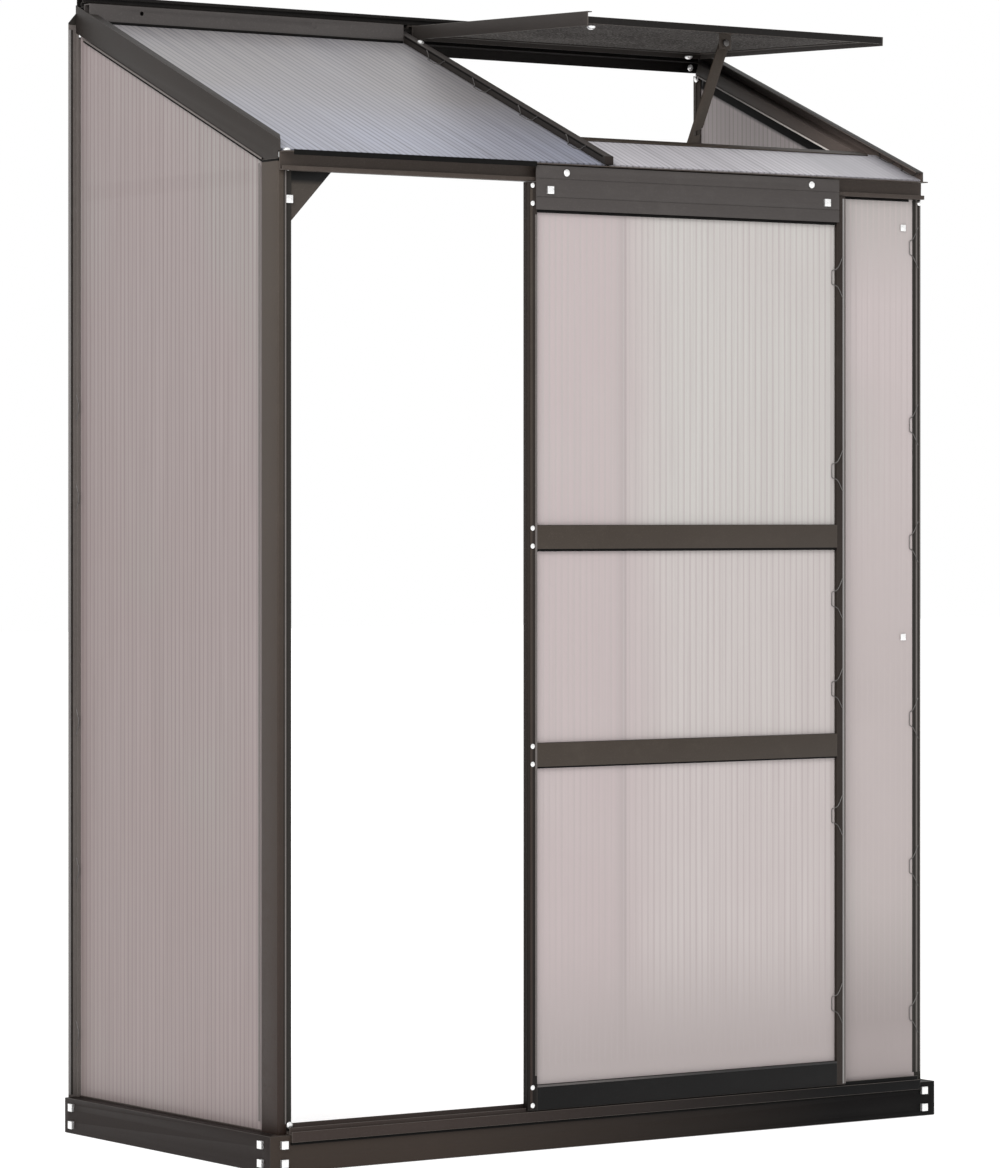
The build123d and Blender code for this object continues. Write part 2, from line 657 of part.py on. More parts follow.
def wall_bar():
    groove_r = HINGE_BEAD_R + RUN_GAP + SKIN / 2
    slot_y = WALL_BAR_Y + SKIN
    ledge_z = pane_foot_z(slot_y) - SEAT
    hood_foot = pane_top_z(slot_y) + SEAT
    groove_foot = HINGE_Z - groove_r
    back = rect(WALL_Y - SKIN, HINGE_Z - WALL_BAR_APRON, WALL_Y, CROWN_Z)
    crown_y = WALL_Y - CROWN_REACH
    crown = rect(crown_y, CROWN_Z - SKIN, WALL_Y, CROWN_Z)
    crown += rect(crown_y, CROWN_Z - CROWN_LIP, crown_y + SKIN, CROWN_Z)
    post = rect(HINGE_Y - SKIN / 2, HINGE_Z + groove_r - SKIN / 2, HINGE_Y + SKIN / 2, CROWN_Z)
    ledge = rect(slot_y, ledge_z - SKIN, WALL_Y, ledge_z)
    hood = rect(WALL_BAR_Y, hood_foot, slot_y, groove_foot + SKIN / 2)
    bridge = rect(WALL_BAR_Y, groove_foot - SKIN / 2, WALL_Y, groove_foot + SKIN / 2)
    section = back + crown + post + ledge + hood + bridge + hinge_groove()
    bar = along_x(section, -WALL_BAR_END_X, WALL_BAR_END_X)
    return drill(bar, wall_hole_points(WALL_BAR_Y), (0, 1, 0), WALL_HOLE_R, WALL_BAR_DEPTH)


def ridge_cover():
    """A channel clipped in front of the wall bar, down onto the fixed roof pane."""
    back_y = WALL_BAR_Y - SEAT
    foot = pane_top_z(COVER_Y + SKIN) + SEAT
    front = rect(COVER_Y, foot, COVER_Y + SKIN, HINGE_Z)
    kick = rect(COVER_Y - COVER_KICK, foot, COVER_Y + SKIN, foot + COVER_KICK_HEIGHT)
    top = rect(COVER_Y, HINGE_Z - SKIN, back_y, HINGE_Z)
    back = rect(back_y - SKIN, pane_top_z(back_y) + SEAT, back_y, HINGE_Z)
    cover = along_x(front + kick + top + back, -WALL_BAR_END_X, MIDDLE_X - MIDDLE_BOX / 2 - SEAT)
    return drill(cover, wall_hole_points(COVER_Y), (0, 1, 0), WALL_HOLE_R, COVER_REACH)


# Ties at eave level, the brace behind the fixed pane, and the corner gussets
def left_tie():
    x0 = SIDE_LIP_X + SKIN + SEAT
    web = rect(x0, TIE_TOP - TIE_HEIGHT, x0 + SKIN, TIE_TOP)
    flange = rect(x0, TIE_TOP - SKIN, x0 + TIE_LEG, TIE_TOP)
    return along_y(web + flange, POST_BACK_Y, REAR_POST_Y)


def front_brace():
    y0 = FIN_Y + SKIN
    top = BRACE_LEVEL + BRACE_HEIGHT
    section = rect(y0, BRACE_LEVEL, y0 + SKIN, top) + rect(y0, top - SKIN, y0 + BRACE_LEG, top)
    bar = along_x(section, MIDDLE_X + MIDDLE_POST_FACE / 2, FRAME_WIDTH / 2 - POST_FACE)
    point = (-FIN_BOLT_X, y0, BRACE_LEVEL + BRACE_HEIGHT / 2)
    return punch(bar, [point], (0, 1, 0), SKIN)


def left_gusset():
    x0 = SIDE_X + POST_FACE + SEAT
    top = gusset_top()
    corner, along_eave, down_post = (x0, top), (x0 + GUSSET_WIDE, top), (x0, top - GUSSET_TALL)
    plate = make_face(Polyline(corner, along_eave, down_post, close=True))
    y0 = FIN_Y + SKIN
    gusset = along_y(plate, y0, y0 + GUSSET_WALL)
    return punch(gusset, [(FIN_BOLT_X, y0, gusset_bolt_z())], (0, 1, 0), GUSSET_WALL)


def fin_stud(z, grip):
    """A stud from inside, through the right post's fin and what is bolted to it."""
    face = (-FIN_BOLT_X, FIN_Y + grip, z)
    return neck(face, (0, 1, 0), BOLT_HEAD_SIDE, BOLT_HEAD) + neck(face, (0, -1, 0), BOLT_NECK, grip)


def frame_bolts():
    grip = SKIN + GUSSET_WALL
    left = bolt((FIN_BOLT_X, FIN_Y, gusset_bolt_z()), (0, -1, 0), grip, head=FIN_BOLT_HEAD)
    brace = fin_stud(BRACE_LEVEL + BRACE_HEIGHT / 2, 2 * SKIN)
    return [left, fin_stud(gusset_bolt_z(), grip), brace]


# Vent crossbar: caps the short pane under the vent and seats the vent's front rail
CROSSBAR_BACK = CROSSBAR_UP + SKIN


def crossbar_cut(piece):
    """Open the peg's hole through the crossbar's web."""
    return piece - extrude(peg_plane().offset(-2 * SKIN) * Circle(PEG_R + RUN_GAP), amount=4 * SKIN)


def vent_crossbar():
    def across(t0, depth0, t1, depth1):
        return rect(t0, -depth0, t1, -depth1)

    cap_foot = PANE_DROP - SEAT
    ledge = PANE_FOOT + SEAT
    seat = VENT_FRONT_FOOT - HINGE_RISE * cos(PITCH) + SEAT
    section = across(CROSSBAR_UP, cap_foot - SKIN, CROSSBAR_BACK, CROSSBAR_DEPTH)
    section += across(CROSSBAR_UP - CROSSBAR_CAP, cap_foot - SKIN, CROSSBAR_UP, cap_foot)
    section += across(CROSSBAR_UP - CROSSBAR_LEDGE, ledge, CROSSBAR_UP, ledge + SKIN)
    section += across(CROSSBAR_BACK, seat, CROSSBAR_BACK + CROSSBAR_SEAT, seat + SKIN)
    x0 = MIDDLE_X + MIDDLE_LEDGE / 2
    x1 = FRAME_WIDTH / 2 - RAFTER_LEDGE
    return crossbar_cut(along(ROOF_SIDE, section, x0, x1))


def peg_plane():
    """Where the peg leaves the back of the crossbar, pointing up the slope."""
    point = ROOF_SIDE.from_local_coords(Vector(CROSSBAR_BACK, -PEG_DEPTH, PEG_X))
    return Plane(origin=point, x_dir=(1, 0, 0), z_dir=UP_SLOPE)


def stay_peg():
    face = peg_plane()
    pin = extrude(face.offset(-SKIN) * Circle(PEG_R), amount=SKIN + PEG_LENGTH)
    tip = face.offset(PEG_LENGTH - PEG_HEAD)
    head = extrude(tip * RegularPolygon(PEG_HEAD_R, 6), amount=PEG_HEAD)
    collar = extrude(face * RegularPolygon(PEG_HEAD_R, 6), amount=PEG_HEAD)
    return pin + head + collar


# Panes of twin-wall sheet
def left_wall_pane():
    foot = SILL_TOP + SEAT
    y0 = POST_BACK_Y + PANE_SLACK
    y1 = REAR_POST_Y - PANE_SLACK
    blank = block(SIDE_PANE_X, SIDE_PANE_X + PANE, y0, y1, foot, CROWN_Z)
    return blank & under_roof(SLOT_TOP + SKIN + PANE_SLACK)


def front_pane():
    x0 = MIDDLE_X + MIDDLE_POST_FACE / 2 + PANE_SLACK
    x1 = FRAME_WIDTH / 2 - POST_FACE - PANE_SLACK
    top = EAVE_HEIGHT - EAVE_CHANNEL_DROP - PANE_SLACK
    return block(x0, x1, FRONT_PANE_Y, FRONT_PANE_Y + PANE, SILL_TOP + SEAT, top)


ROOF_PANE_T = -PANE_FOOT * tan(PITCH)


def roof_pane(t1, x0, x1):
    return along(ROOF_SIDE, rect(ROOF_PANE_T, -PANE_FOOT, t1, -PANE_DROP), x0, x1)


def left_roof_pane():
    top_t = (WALL_Y - WALL_BAR_DEPTH / 2 - FRONT_Y - PANE_FOOT * sin(PITCH)) / cos(PITCH)
    return roof_pane(top_t, SIDE_X + SKIN + PANE_SLACK, MIDDLE_X - SKIN / 2 - PANE_SLACK)


def lower_roof_pane():
    x0 = MIDDLE_X + SKIN / 2 + PANE_SLACK
    return roof_pane(CROSSBAR_UP - PANE_SLACK, x0, FRAME_WIDTH / 2 - SKIN - PANE_SLACK)


# Sliding door: stiles and rails round three panes, hung from a header with two rollers
def stile_section(x0):
    """Left stile: a hollow with a rounded outer corner and a lip behind the panes."""
    shell = rect(x0, DOOR_FRONT_Y, x0 + STILE, DOOR_BACK_Y)
    shell = fillet(shell.vertices().sort_by(lambda v: v.X + v.Y)[0], radius=STILE_CORNER_R)
    core = rect(x0 + SKIN, DOOR_FRONT_Y + SKIN, x0 + STILE - SKIN, DOOR_BACK_Y - SKIN)
    return shell - core + rect(x0 + STILE, DOOR_LIP_Y, x0 + STILE + DOOR_LIP, DOOR_BACK_Y)


def rivet_levels():
    """Two rivets at the end of each rail."""
    middles = (DOOR_FOOT + BOTTOM_RIVET_RISE, DOOR_LOWER_LEVEL + DOOR_RAIL / 2,
               DOOR_UPPER_LEVEL + DOOR_RAIL / 2, HEADER_BOTTOM + HEADER_RIVET_RISE)
    return [z + side * RIVET_SPREAD / 2 for z in middles for side in (-1, 1)]


def left_rivet_points():
    return [(DOOR_OPEN_X + STILE / 2, DOOR_FRONT_Y, z) for z in rivet_levels()]


def right_rivet_points():
    return [(DOOR_END_X, DOOR_MIDDLE_Y, z) for z in rivet_levels()]


def rivet_holes(stile, points, direction):
    """The stile with a faceted hole for each rivet."""
    hole = RegularPolygon(RIVET_R + RUN_GAP, RIVET_SIDES)
    for point in points:
        face = Plane(origin=point, z_dir=direction)
        stile -= extrude(face.offset(-CUT_OVER) * hole, amount=SKIN + CUT_OVER)
    return stile


def rib_room():
    """The slot across the foot of a stile that lets it pass over the sill's guide rib."""
    half = SKIN / 2 + 2 * SEAT
    top = BASE_HEIGHT + SILL_RIB + 2 * SEAT
    return block(-BASE_WIDTH, BASE_WIDTH, DOOR_MIDDLE_Y - half, DOOR_MIDDLE_Y + half, BASE_HEIGHT, top)


def door_left_stile():
    stile = along_z(stile_section(DOOR_OPEN_X), DOOR_FOOT, DOOR_TOP) - rib_room()
    return rivet_holes(stile, left_rivet_points(), (0, 1, 0))


def door_right_stile():
    section = mirror(stile_section(-DOOR_END_X), about=Plane.YZ)
    stile = along_z(section, DOOR_FOOT, DOOR_TOP) - rib_room()
    return rivet_holes(stile, right_rivet_points(), (-1, 0, 0))


def cope(rail):
    """Notch a rail's ends round the lips of the stiles."""
    y0 = DOOR_LIP_Y - SEAT
    rail -= block(RAIL_X[0] - CUT_OVER, RAIL_X[0] + DOOR_LIP + SEAT, y0, 0, 0, EAVE_HEIGHT)
    return rail - block(RAIL_X[1] - DOOR_LIP - SEAT, RAIL_X[1] + CUT_OVER, y0, 0, 0, EAVE_HEIGHT)


def door_rail(level):
    section = hollow(DOOR_FRONT_Y, level, DOOR_BACK_Y, level + DOOR_RAIL)
    section += rect(DOOR_LIP_Y, level - DOOR_LIP, DOOR_BACK_Y, level + DOOR_RAIL + DOOR_LIP)
    return cope(along_x(section, *RAIL_X))


def door_bottom_rail():
    top = BOTTOM_RAIL_TOP
    section = hollow(DOOR_FRONT_Y, DOOR_FOOT, DOOR_BACK_Y, top)
    section -= rect(DOOR_FRONT_Y + SKIN, DOOR_FOOT, DOOR_BACK_Y - SKIN, GLIDE_ROOF)
    section += rect(DOOR_FRONT_Y, GLIDE_ROOF, DOOR_BACK_Y, GLIDE_ROOF + SKIN)
    section += rect(DOOR_LIP_Y, top, DOOR_BACK_Y, top + DOOR_LIP)
    return cope(along_x(section, *RAIL_X))


def axle_points():
    return [(x, PLATE_Y, AXLE_Z) for x in (HEADER_X[0] + AXLE_INSET, HEADER_X[1] - AXLE_INSET)]


def header_bolt_points():
    ends = (HEADER_X[0] + HEADER_BOLT_INSET, HEADER_X[1] - HEADER_BOLT_INSET)
    return [(x, PLATE_Y, HEADER_BOTTOM + HEADER_BOLT_RISE) for x in ends]


def door_header():
    box_top = HEADER_BOTTOM + HEADER_BOX
    plate = rect(PLATE_Y, HEADER_BOTTOM, DOOR_FRONT_Y, HEADER_BOTTOM + HEADER_HEIGHT)
    for rise in (HEADER_GROOVE_LOW, HEADER_GROOVE_HIGH):
        z = HEADER_BOTTOM + rise
        plate -= rect(PLATE_Y, z - HEADER_GROOVE, PLATE_Y + HEADER_GROOVE, z + HEADER_GROOVE)
    box = rect(DOOR_FRONT_Y, HEADER_BOTTOM, DOOR_BACK_Y, HEADER_BOTTOM + SKIN)
    box += rect(DOOR_FRONT_Y, box_top - SKIN, DOOR_BACK_Y, box_top)
    box += rect(DOOR_LIP_Y, HEADER_BOTTOM - DOOR_LIP, DOOR_BACK_Y, box_top)
    header = along_x(plate, *HEADER_X) + cope(along_x(box, *RAIL_X))
    header = drill(header, axle_points(), (0, 1, 0), AXLE_R + RUN_GAP, HEADER_PLATE)
    return punch(header, header_bolt_points(), (0, 1, 0), HEADER_PLATE)


def header_cleats():
    """Angles inside the header's ends that bolt it to the stiles."""
    z0 = HEADER_BOTTOM + SKIN + SEAT
    cleats = []
    for x, inward in ((RAIL_X[0], 1), (RAIL_X[1], -1)):
        face = rect(x, DOOR_FRONT_Y, x + inward * CLEAT_LEG, DOOR_FRONT_Y + SKIN)
        end = rect(x, DOOR_FRONT_Y, x + inward * SKIN, DOOR_LIP_Y - SEAT)
        cleats.append(along_z(face + end, z0, z0 + CLEAT_HEIGHT))
    return [punch(cleat, header_bolt_points(), (0, 1, 0), HEADER_PLATE + SKIN) for cleat in cleats]


def header_bolts():
    grip = HEADER_PLATE + SKIN
    return [bolt(point, (0, -1, 0), grip, head=HEADER_BOLT_HEAD) for point in header_bolt_points()]


def door_rivets():
    left = [rivet(point, (0, -1, 0)) for point in left_rivet_points()]
    return left + [rivet(point, (1, 0, 0)) for point in right_rivet_points()]


def door_pane(z0, z1):
    y1 = DOOR_LIP_Y - SEAT
    x0 = RAIL_X[0] + PANE_SLACK
    return block(x0, RAIL_X[1] - PANE_SLACK, y1 - PANE, y1, z0 + PANE_SLACK, z1 - PANE_SLACK)


def door_glides():
    """Plastic shoes in the bottom rail that straddle the sill's guide rib."""
    half = (DOOR_DEPTH - 2 * SKIN) / 2 - SEAT
    slot = SKIN / 2 + SEAT + RUN_GAP
    shoe = rect(DOOR_MIDDLE_Y - half, DOOR_FOOT, DOOR_MIDDLE_Y + half, GLIDE_ROOF)
    shoe -= rect(DOOR_MIDDLE_Y - slot, DOOR_FOOT, DOOR_MIDDLE_Y + slot, BASE_HEIGHT + SILL_RIB + SEAT)
    starts = (RAIL_X[0] + GLIDE_INSET, RAIL_X[1] - GLIDE_INSET - GLIDE_LENGTH)
    return [along_x(shoe, x, x + GLIDE_LENGTH) for x in starts]


def roller_axles():
    """Pins through the header, each with a collar behind its roller."""
    back = ROLLER_Y + ROLLER_WIDTH / 2 + SEAT
    axles = []
    for x, y, z in axle_points():
        head = hexagon((x, y, z), (0, -1, 0), AXLE_HEAD_R, AXLE_HEAD)
        pin = rod((x, y, z), (0, 1, 0), AXLE_R, back + SKIN - y)
        collar = hexagon((x, back, z), (0, 1, 0), AXLE_HEAD_R, SKIN)
        axles.append(head + pin + collar)
    return axles


def roller(x):
    """A grooved wheel, turned about its axle."""
    half = ROLLER_WIDTH / 2
    notch = ROLLER_GROOVE / 2
    bore = AXLE_R + RUN_GAP
    edge = ROLLER_RIM_R
    flare = notch + ROLLER_FLARE
    outline = Polyline((bore, -half), (edge, -half), (edge, -flare), (ROLLER_GROOVE_R, -notch),
                       (ROLLER_GROOVE_R, notch), (edge, flare), (edge, half), (bore, half), close=True)
    wheel = revolve(make_face(outline), Axis.Y)
    return Pos(x, ROLLER_Y, AXLE_Z) * wheel


# Roof vent: four rails round a pane, its back rail rolled into a hinge bead
def vent_x(profile, x0, x1):
    return along(VENT_SIDE, profile, -x1, -x0)


VENT_PANE_FOOT = VENT_PANE_DROP + PANE
VENT_LIP_FOOT = VENT_PANE_DROP - SEAT / 2
VENT_SHELF_TOP = VENT_PANE_FOOT + SEAT / 2
VENT_WALL_S = VENT_BACK + SKIN


def vent_top_rail():
    neck = rect(0, -VENT_NECK / 2, VENT_WALL_S, VENT_NECK / 2)
    wall = rect(VENT_BACK, -VENT_RAIL, VENT_WALL_S, VENT_NECK / 2)
    lip = rect(VENT_WALL_S, -VENT_LIP_FOOT, VENT_WALL_S + VENT_LIP, -VENT_LIP_FOOT + SKIN)
    shelf = rect(VENT_WALL_S, -VENT_SHELF_TOP - SKIN, VENT_WALL_S + VENT_SHELF, -VENT_SHELF_TOP)
    spine = vent_x(Circle(HINGE_BEAD_R) + neck + wall, *VENT_X)
    return spine + vent_x(lip + shelf, VENT_X[0] + SKIN, VENT_X[1] - SKIN)


def vent_side_rail(x0, top):
    """Left side rail: an outer wall with a slot for the pane."""
    wall = rect(x0, -VENT_RAIL, x0 + SKIN, top)
    slot = rect(x0 + SKIN, -VENT_LIP_FOOT, x0 + VENT_LIP, -VENT_LIP_FOOT + SKIN)
    slot += rect(x0 + SKIN, -VENT_SHELF_TOP - SKIN, x0 + VENT_SHELF, -VENT_SHELF_TOP)
    inner = (VENT_WALL_S + VENT_SHELF + SEAT, VENT_LENGTH - VENT_SHELF - SKIN - SEAT)
    return along(VENT_RUN, wall, VENT_WALL_S, VENT_LENGTH) + along(VENT_RUN, slot, *inner)


def vent_left_rail():
    """The left rail, with a flange along the top of its wall that closes over the middle rafter."""
    x0 = VENT_X[0]
    flange = rect(x0, -SKIN, x0 + VENT_LIP, 0)
    return vent_side_rail(x0, 0) + along(VENT_RUN, flange, VENT_WALL_S, VENT_LENGTH)


def vent_right_rail():
    return mirrored(vent_side_rail(-VENT_X[1], -VENT_FRONT_TOP))


def vent_front_rail():
    end = VENT_LENGTH
    front = rect(end - SKIN, -VENT_FRONT_FOOT, end, -VENT_FRONT_TOP)
    lip = rect(end - SKIN - VENT_LIP, -VENT_LIP_FOOT, end - SKIN, -VENT_LIP_FOOT + SKIN)
    shelf = rect(end - SKIN - VENT_SHELF, -VENT_SHELF_TOP - SKIN, end - SKIN, -VENT_SHELF_TOP)
    return vent_x(front + lip + shelf, VENT_X[0] + SKIN, VENT_X[1] - SKIN)


def vent_pane():
    s1 = VENT_LENGTH - SKIN - PANE_SLACK
    sheet = rect(VENT_WALL_S + PANE_SLACK, -VENT_PANE_FOOT, s1, -VENT_PANE_DROP)
    return vent_x(sheet, VENT_X[0] + SKIN + PANE_SLACK, VENT_X[1] - SKIN - PANE_SLACK)


# Vent stay: a notched flat bar, pivoted on a bracket under the front rail and dropped over the peg
BRACKET_S = VENT_LENGTH - SKIN - STAY_BRACKET_REACH
STAY_S = BRACKET_S - SEAT - STAY_WALL
PIVOT = VENT_SIDE.from_local_coords(Vector(STAY_S, -STAY_PIVOT_DROP, -STAY_X))


def stay_bracket():
    leaf_top = -VENT_SHELF_TOP - SKIN
    foot = -STAY_PIVOT_DROP - STAY_WIDTH / 2
    leaf = rect(BRACKET_S, leaf_top - SKIN, VENT_LENGTH - SKIN - SEAT, leaf_top)
    ear = rect(BRACKET_S, foot, BRACKET_S + SKIN, leaf_top)
    bracket = vent_x(leaf + ear, STAY_X - STAY_BRACKET / 2, STAY_X + STAY_BRACKET / 2)
    return bracket - rod(PIVOT, VENT_OUT, STAY_PIVOT_R + RUN_GAP, STAY_WALL + 4 * SKIN)


def stay_plane():
    """The back of the stay, with its X along the bar from the pivot to the peg."""
    peg = peg_plane()
    to_stay = (PIVOT - peg.origin).dot(VENT_OUT) / UP_SLOPE.dot(VENT_OUT)
    crossing = peg.origin + UP_SLOPE * to_stay
    return Plane(origin=PIVOT, x_dir=crossing - PIVOT, z_dir=VENT_OUT), (crossing - PIVOT).length


def vent_stay():
    face, reach = stay_plane()
    half = STAY_WIDTH / 2
    blank = rect(0, -half, reach + STAY_TAIL - half, half)
    blank += Circle(half) + Pos(reach + STAY_TAIL - half, 0) * Circle(half)
    for step in range(STAY_NOTCHES):
        throat = Rot(0, 0, STAY_NOTCH_SLANT) * rect(-STAY_NOTCH_R, 0, STAY_NOTCH_R, 2 * STAY_WIDTH)
        blank -= Pos(reach - step * STAY_NOTCH_PITCH, 0) * (Circle(STAY_NOTCH_R) + throat)
    blank -= Circle(STAY_PIVOT_R + RUN_GAP)
    return extrude(face * blank, amount=STAY_WALL)


def stay_pivot():
    """A shouldered pin through the stay and its bracket, with a head and a collar."""
    under_head = PIVOT - VENT_OUT * SEAT
    grip = SEAT + STAY_WALL + SEAT + SKIN
    head = hexagon(under_head, -VENT_OUT, NUT_R, STAY_PIVOT_HEAD)
    pin = rod(under_head, VENT_OUT, STAY_PIVOT_R, grip)
    return head + pin + hexagon(under_head + VENT_OUT * grip, VENT_OUT, NUT_R, STAY_PIVOT_NUT)


def door_pieces():
    low = DOOR_LOWER_LEVEL
    high = DOOR_UPPER_LEVEL
    roller_x = [point[0] for point in axle_points()]
    return {
        "door_left_stile": door_left_stile(),
        "door_right_stile": door_right_stile(),
        "door_header": door_header(),
        "door_upper_rail": door_rail(high),
        "door_lower_rail": door_rail(low),
        "door_bottom_rail": door_bottom_rail(),
        "door_upper_pane": door_pane(high + DOOR_RAIL, HEADER_BOTTOM),
        "door_middle_pane": door_pane(low + DOOR_RAIL, high),
        "door_lower_pane": door_pane(BOTTOM_RAIL_TOP, low),
        "door_header_cleats": header_cleats(),
        "door_header_bolts": header_bolts(),
        "door_rivets": door_rivets(),
        "door_glides": door_glides(),
        "roller_axles": roller_axles(),
        "left_roller": roller(roller_x[0]),
        "right_roller": roller(roller_x[1]),
    }


def vent_pieces():
    return {
        "vent_top_rail": vent_top_rail(),
        "vent_left_rail": vent_left_rail(),
        "vent_right_rail": vent_right_rail(),
        "vent_front_rail": vent_front_rail(),
        "vent_pane": vent_pane(),
        "stay_bracket": stay_bracket(),
        "stay_pivot": stay_pivot(),
        "vent_stay": vent_stay(),
    }


def frame_pieces():
    pieces = {
        "base_front": base_front(),
        "base_left": base_left(),
        "base_angles": base_angles(),
        "base_bolts": base_bolts(),
        "front_sill": front_sill(),
        "left_sill": left_sill(),
        "front_left_post": front_left_post(),
        "front_right_post": front_right_post(),
        "rear_left_post": rear_left_post(),
        "middle_post": middle_post(),
        "eave_rail": eave_rail(),
        "wall_bar": wall_bar(),
        "ridge_cover": ridge_cover(),
        "left_rafter": outer_rafter(COVER_Y - COVER_KICK - SEAT),
        "right_rafter": mirrored(outer_rafter(WALL_BAR_Y)),
        "middle_rafter": middle_rafter(),
        "left_tie": left_tie(),
        "front_brace": front_brace(),
        "left_gusset": left_gusset(),
        "frame_bolts": frame_bolts(),
        "vent_crossbar": vent_crossbar(),
        "stay_peg": stay_peg(),
        "left_wall_pane": left_wall_pane(),
        "front_pane": front_pane(),
        "left_roof_pane": left_roof_pane(),
        "lower_roof_pane": lower_roof_pane(),
    }
    twins = ("base_left", "left_sill", "rear_left_post", "left_tie", "left_gusset", "left_wall_pane")
    for name in twins:
        pieces[name.replace("left", "right")] = mirrored(pieces[name])
    return pieces


def write(pieces):
    os.makedirs("parts", exist_ok=True)
    for name, piece in pieces.items():
        solids = piece if isinstance(piece, list) else [piece]
        body = Compound(children=solids) if len(solids) > 1 else solids[0]
        export_step(body, f"parts/{name}.step")


write({**frame_pieces(), **door_pieces(), **vent_pieces()})

bar_dir = stay_plane()[0].x_dir
print("hinge", HINGE, "crown", CROWN_Z, "pivot", PIVOT)
print("stay reach", stay_plane()[1], "from plumb", atan2(-bar_dir.X, -bar_dir.dot(VENT_UP)) * 180 / pi)
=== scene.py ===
import bmesh
import bpy
import json
from math import ceil, cos, floor, pi, radians, sin, tan
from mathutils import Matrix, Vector


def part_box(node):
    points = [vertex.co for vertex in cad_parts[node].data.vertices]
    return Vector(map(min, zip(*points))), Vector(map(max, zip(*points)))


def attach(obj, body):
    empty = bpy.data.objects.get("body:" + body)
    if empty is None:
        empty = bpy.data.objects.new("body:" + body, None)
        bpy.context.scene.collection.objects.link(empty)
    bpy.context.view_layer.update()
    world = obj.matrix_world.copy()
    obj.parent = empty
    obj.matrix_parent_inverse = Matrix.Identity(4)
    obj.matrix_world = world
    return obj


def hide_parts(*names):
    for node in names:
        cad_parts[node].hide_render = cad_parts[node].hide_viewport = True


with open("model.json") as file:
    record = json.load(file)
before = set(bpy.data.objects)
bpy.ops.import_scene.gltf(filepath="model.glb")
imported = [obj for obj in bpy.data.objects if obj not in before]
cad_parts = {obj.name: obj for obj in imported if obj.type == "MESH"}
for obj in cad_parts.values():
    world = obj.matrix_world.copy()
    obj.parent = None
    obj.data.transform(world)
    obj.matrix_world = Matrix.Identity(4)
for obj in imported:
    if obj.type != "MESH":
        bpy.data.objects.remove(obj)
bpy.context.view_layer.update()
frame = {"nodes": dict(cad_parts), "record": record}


# Base. Three rolled steel channels, mitred at the front corners and bolted to angles inside them.
# They carry a near-black powder coat, baked on, which pulls thin and paler over every fold.
BASE_STEEL = ("base_front", "base_left", "base_right", "base_angles")
BASE_EDGE = 0.0006
POWDER_GLOSS = 0.46
MERGE_WITHIN = 0.00002
FLAT_WITHIN = radians(2)
SHARP_FROM = radians(40)
SMOOTH_BELOW = radians(38)
COLOUR_A, COLOUR_B, COLOUR_OUT = 6, 7, 2


def feed(tree, node, feeds):
    """Feed a node's sockets, from other sockets or with plain values."""
    for name, value in feeds.items():
        if isinstance(value, bpy.types.NodeSocket):
            tree.links.new(value, node.inputs[name])
        else:
            node.inputs[name].default_value = value


def place(tree, kind, feeds, **options):
    """A new shader node with its options set and its sockets fed."""
    made = tree.nodes.new(kind)
    for name, value in options.items():
        setattr(made, name, value)
    feed(tree, made, feeds)
    return made


def surface(tree):
    """The coordinates that a pattern is laid on: the piece's own."""
    return tree.nodes.new("ShaderNodeTexCoord").outputs["Object"]


def noise(tree, where, scale, detail, roughness=0.5):
    """Soft noise over the surface."""
    feeds = {"Vector": where, "Scale": scale, "Detail": detail, "Roughness": roughness}
    return place(tree, "ShaderNodeTexNoise", feeds).outputs["Fac"]


def ranged(tree, value, span=(0.0, 1.0), onto=(0.0, 1.0), smooth=False):
    """A value carried from one span onto another, and held at its ends."""
    feeds = {"Value": value, "From Min": span[0], "From Max": span[1], "To Min": onto[0], "To Max": onto[1]}
    way = "SMOOTHSTEP" if smooth else "LINEAR"
    return place(tree, "ShaderNodeMapRange", feeds, interpolation_type=way).outputs[0]


def maths(tree, operation, *values, clamp=False):
    """A sum worked on plain values or sockets."""
    feeds = dict(enumerate(values))
    return place(tree, "ShaderNodeMath", feeds, operation=operation, use_clamp=clamp).outputs[0]


def blended(tree, factor, first, second, way="MIX"):
    """Two colours, plain or from sockets, mixed by a factor."""
    pair = [value if isinstance(value, bpy.types.NodeSocket) else (*value, 1) for value in (first, second)]
    feeds = {"Factor": factor, COLOUR_A: pair[0], COLOUR_B: pair[1]}
    return place(tree, "ShaderNodeMix", feeds, data_type="RGBA", blend_type=way).outputs[COLOUR_OUT]


def relief(tree, height, strength, distance):
    """A bumped normal."""
    feeds = {"Strength": strength, "Distance": distance, "Height": height}
    return place(tree, "ShaderNodeBump", feeds).outputs[0]


def new_group(name, inputs, outputs):
    """An empty shader group with named sockets: its tree, its input node and its output node."""
    tree = bpy.data.node_groups.new(name, "ShaderNodeTree")
    for socket, kind in inputs:
        tree.interface.new_socket(socket, in_out="INPUT", socket_type=kind)
    for socket, kind in outputs:
        tree.interface.new_socket(socket, in_out="OUTPUT", socket_type=kind)
    return tree, tree.nodes.new("NodeGroupInput"), tree.nodes.new("NodeGroupOutput")


def new_finish(name):
    """An empty material: itself, its node tree and its shader."""
    finish = bpy.data.materials.new(name)
    finish.use_nodes = True
    return finish, finish.node_tree, finish.node_tree.nodes["Principled BSDF"]


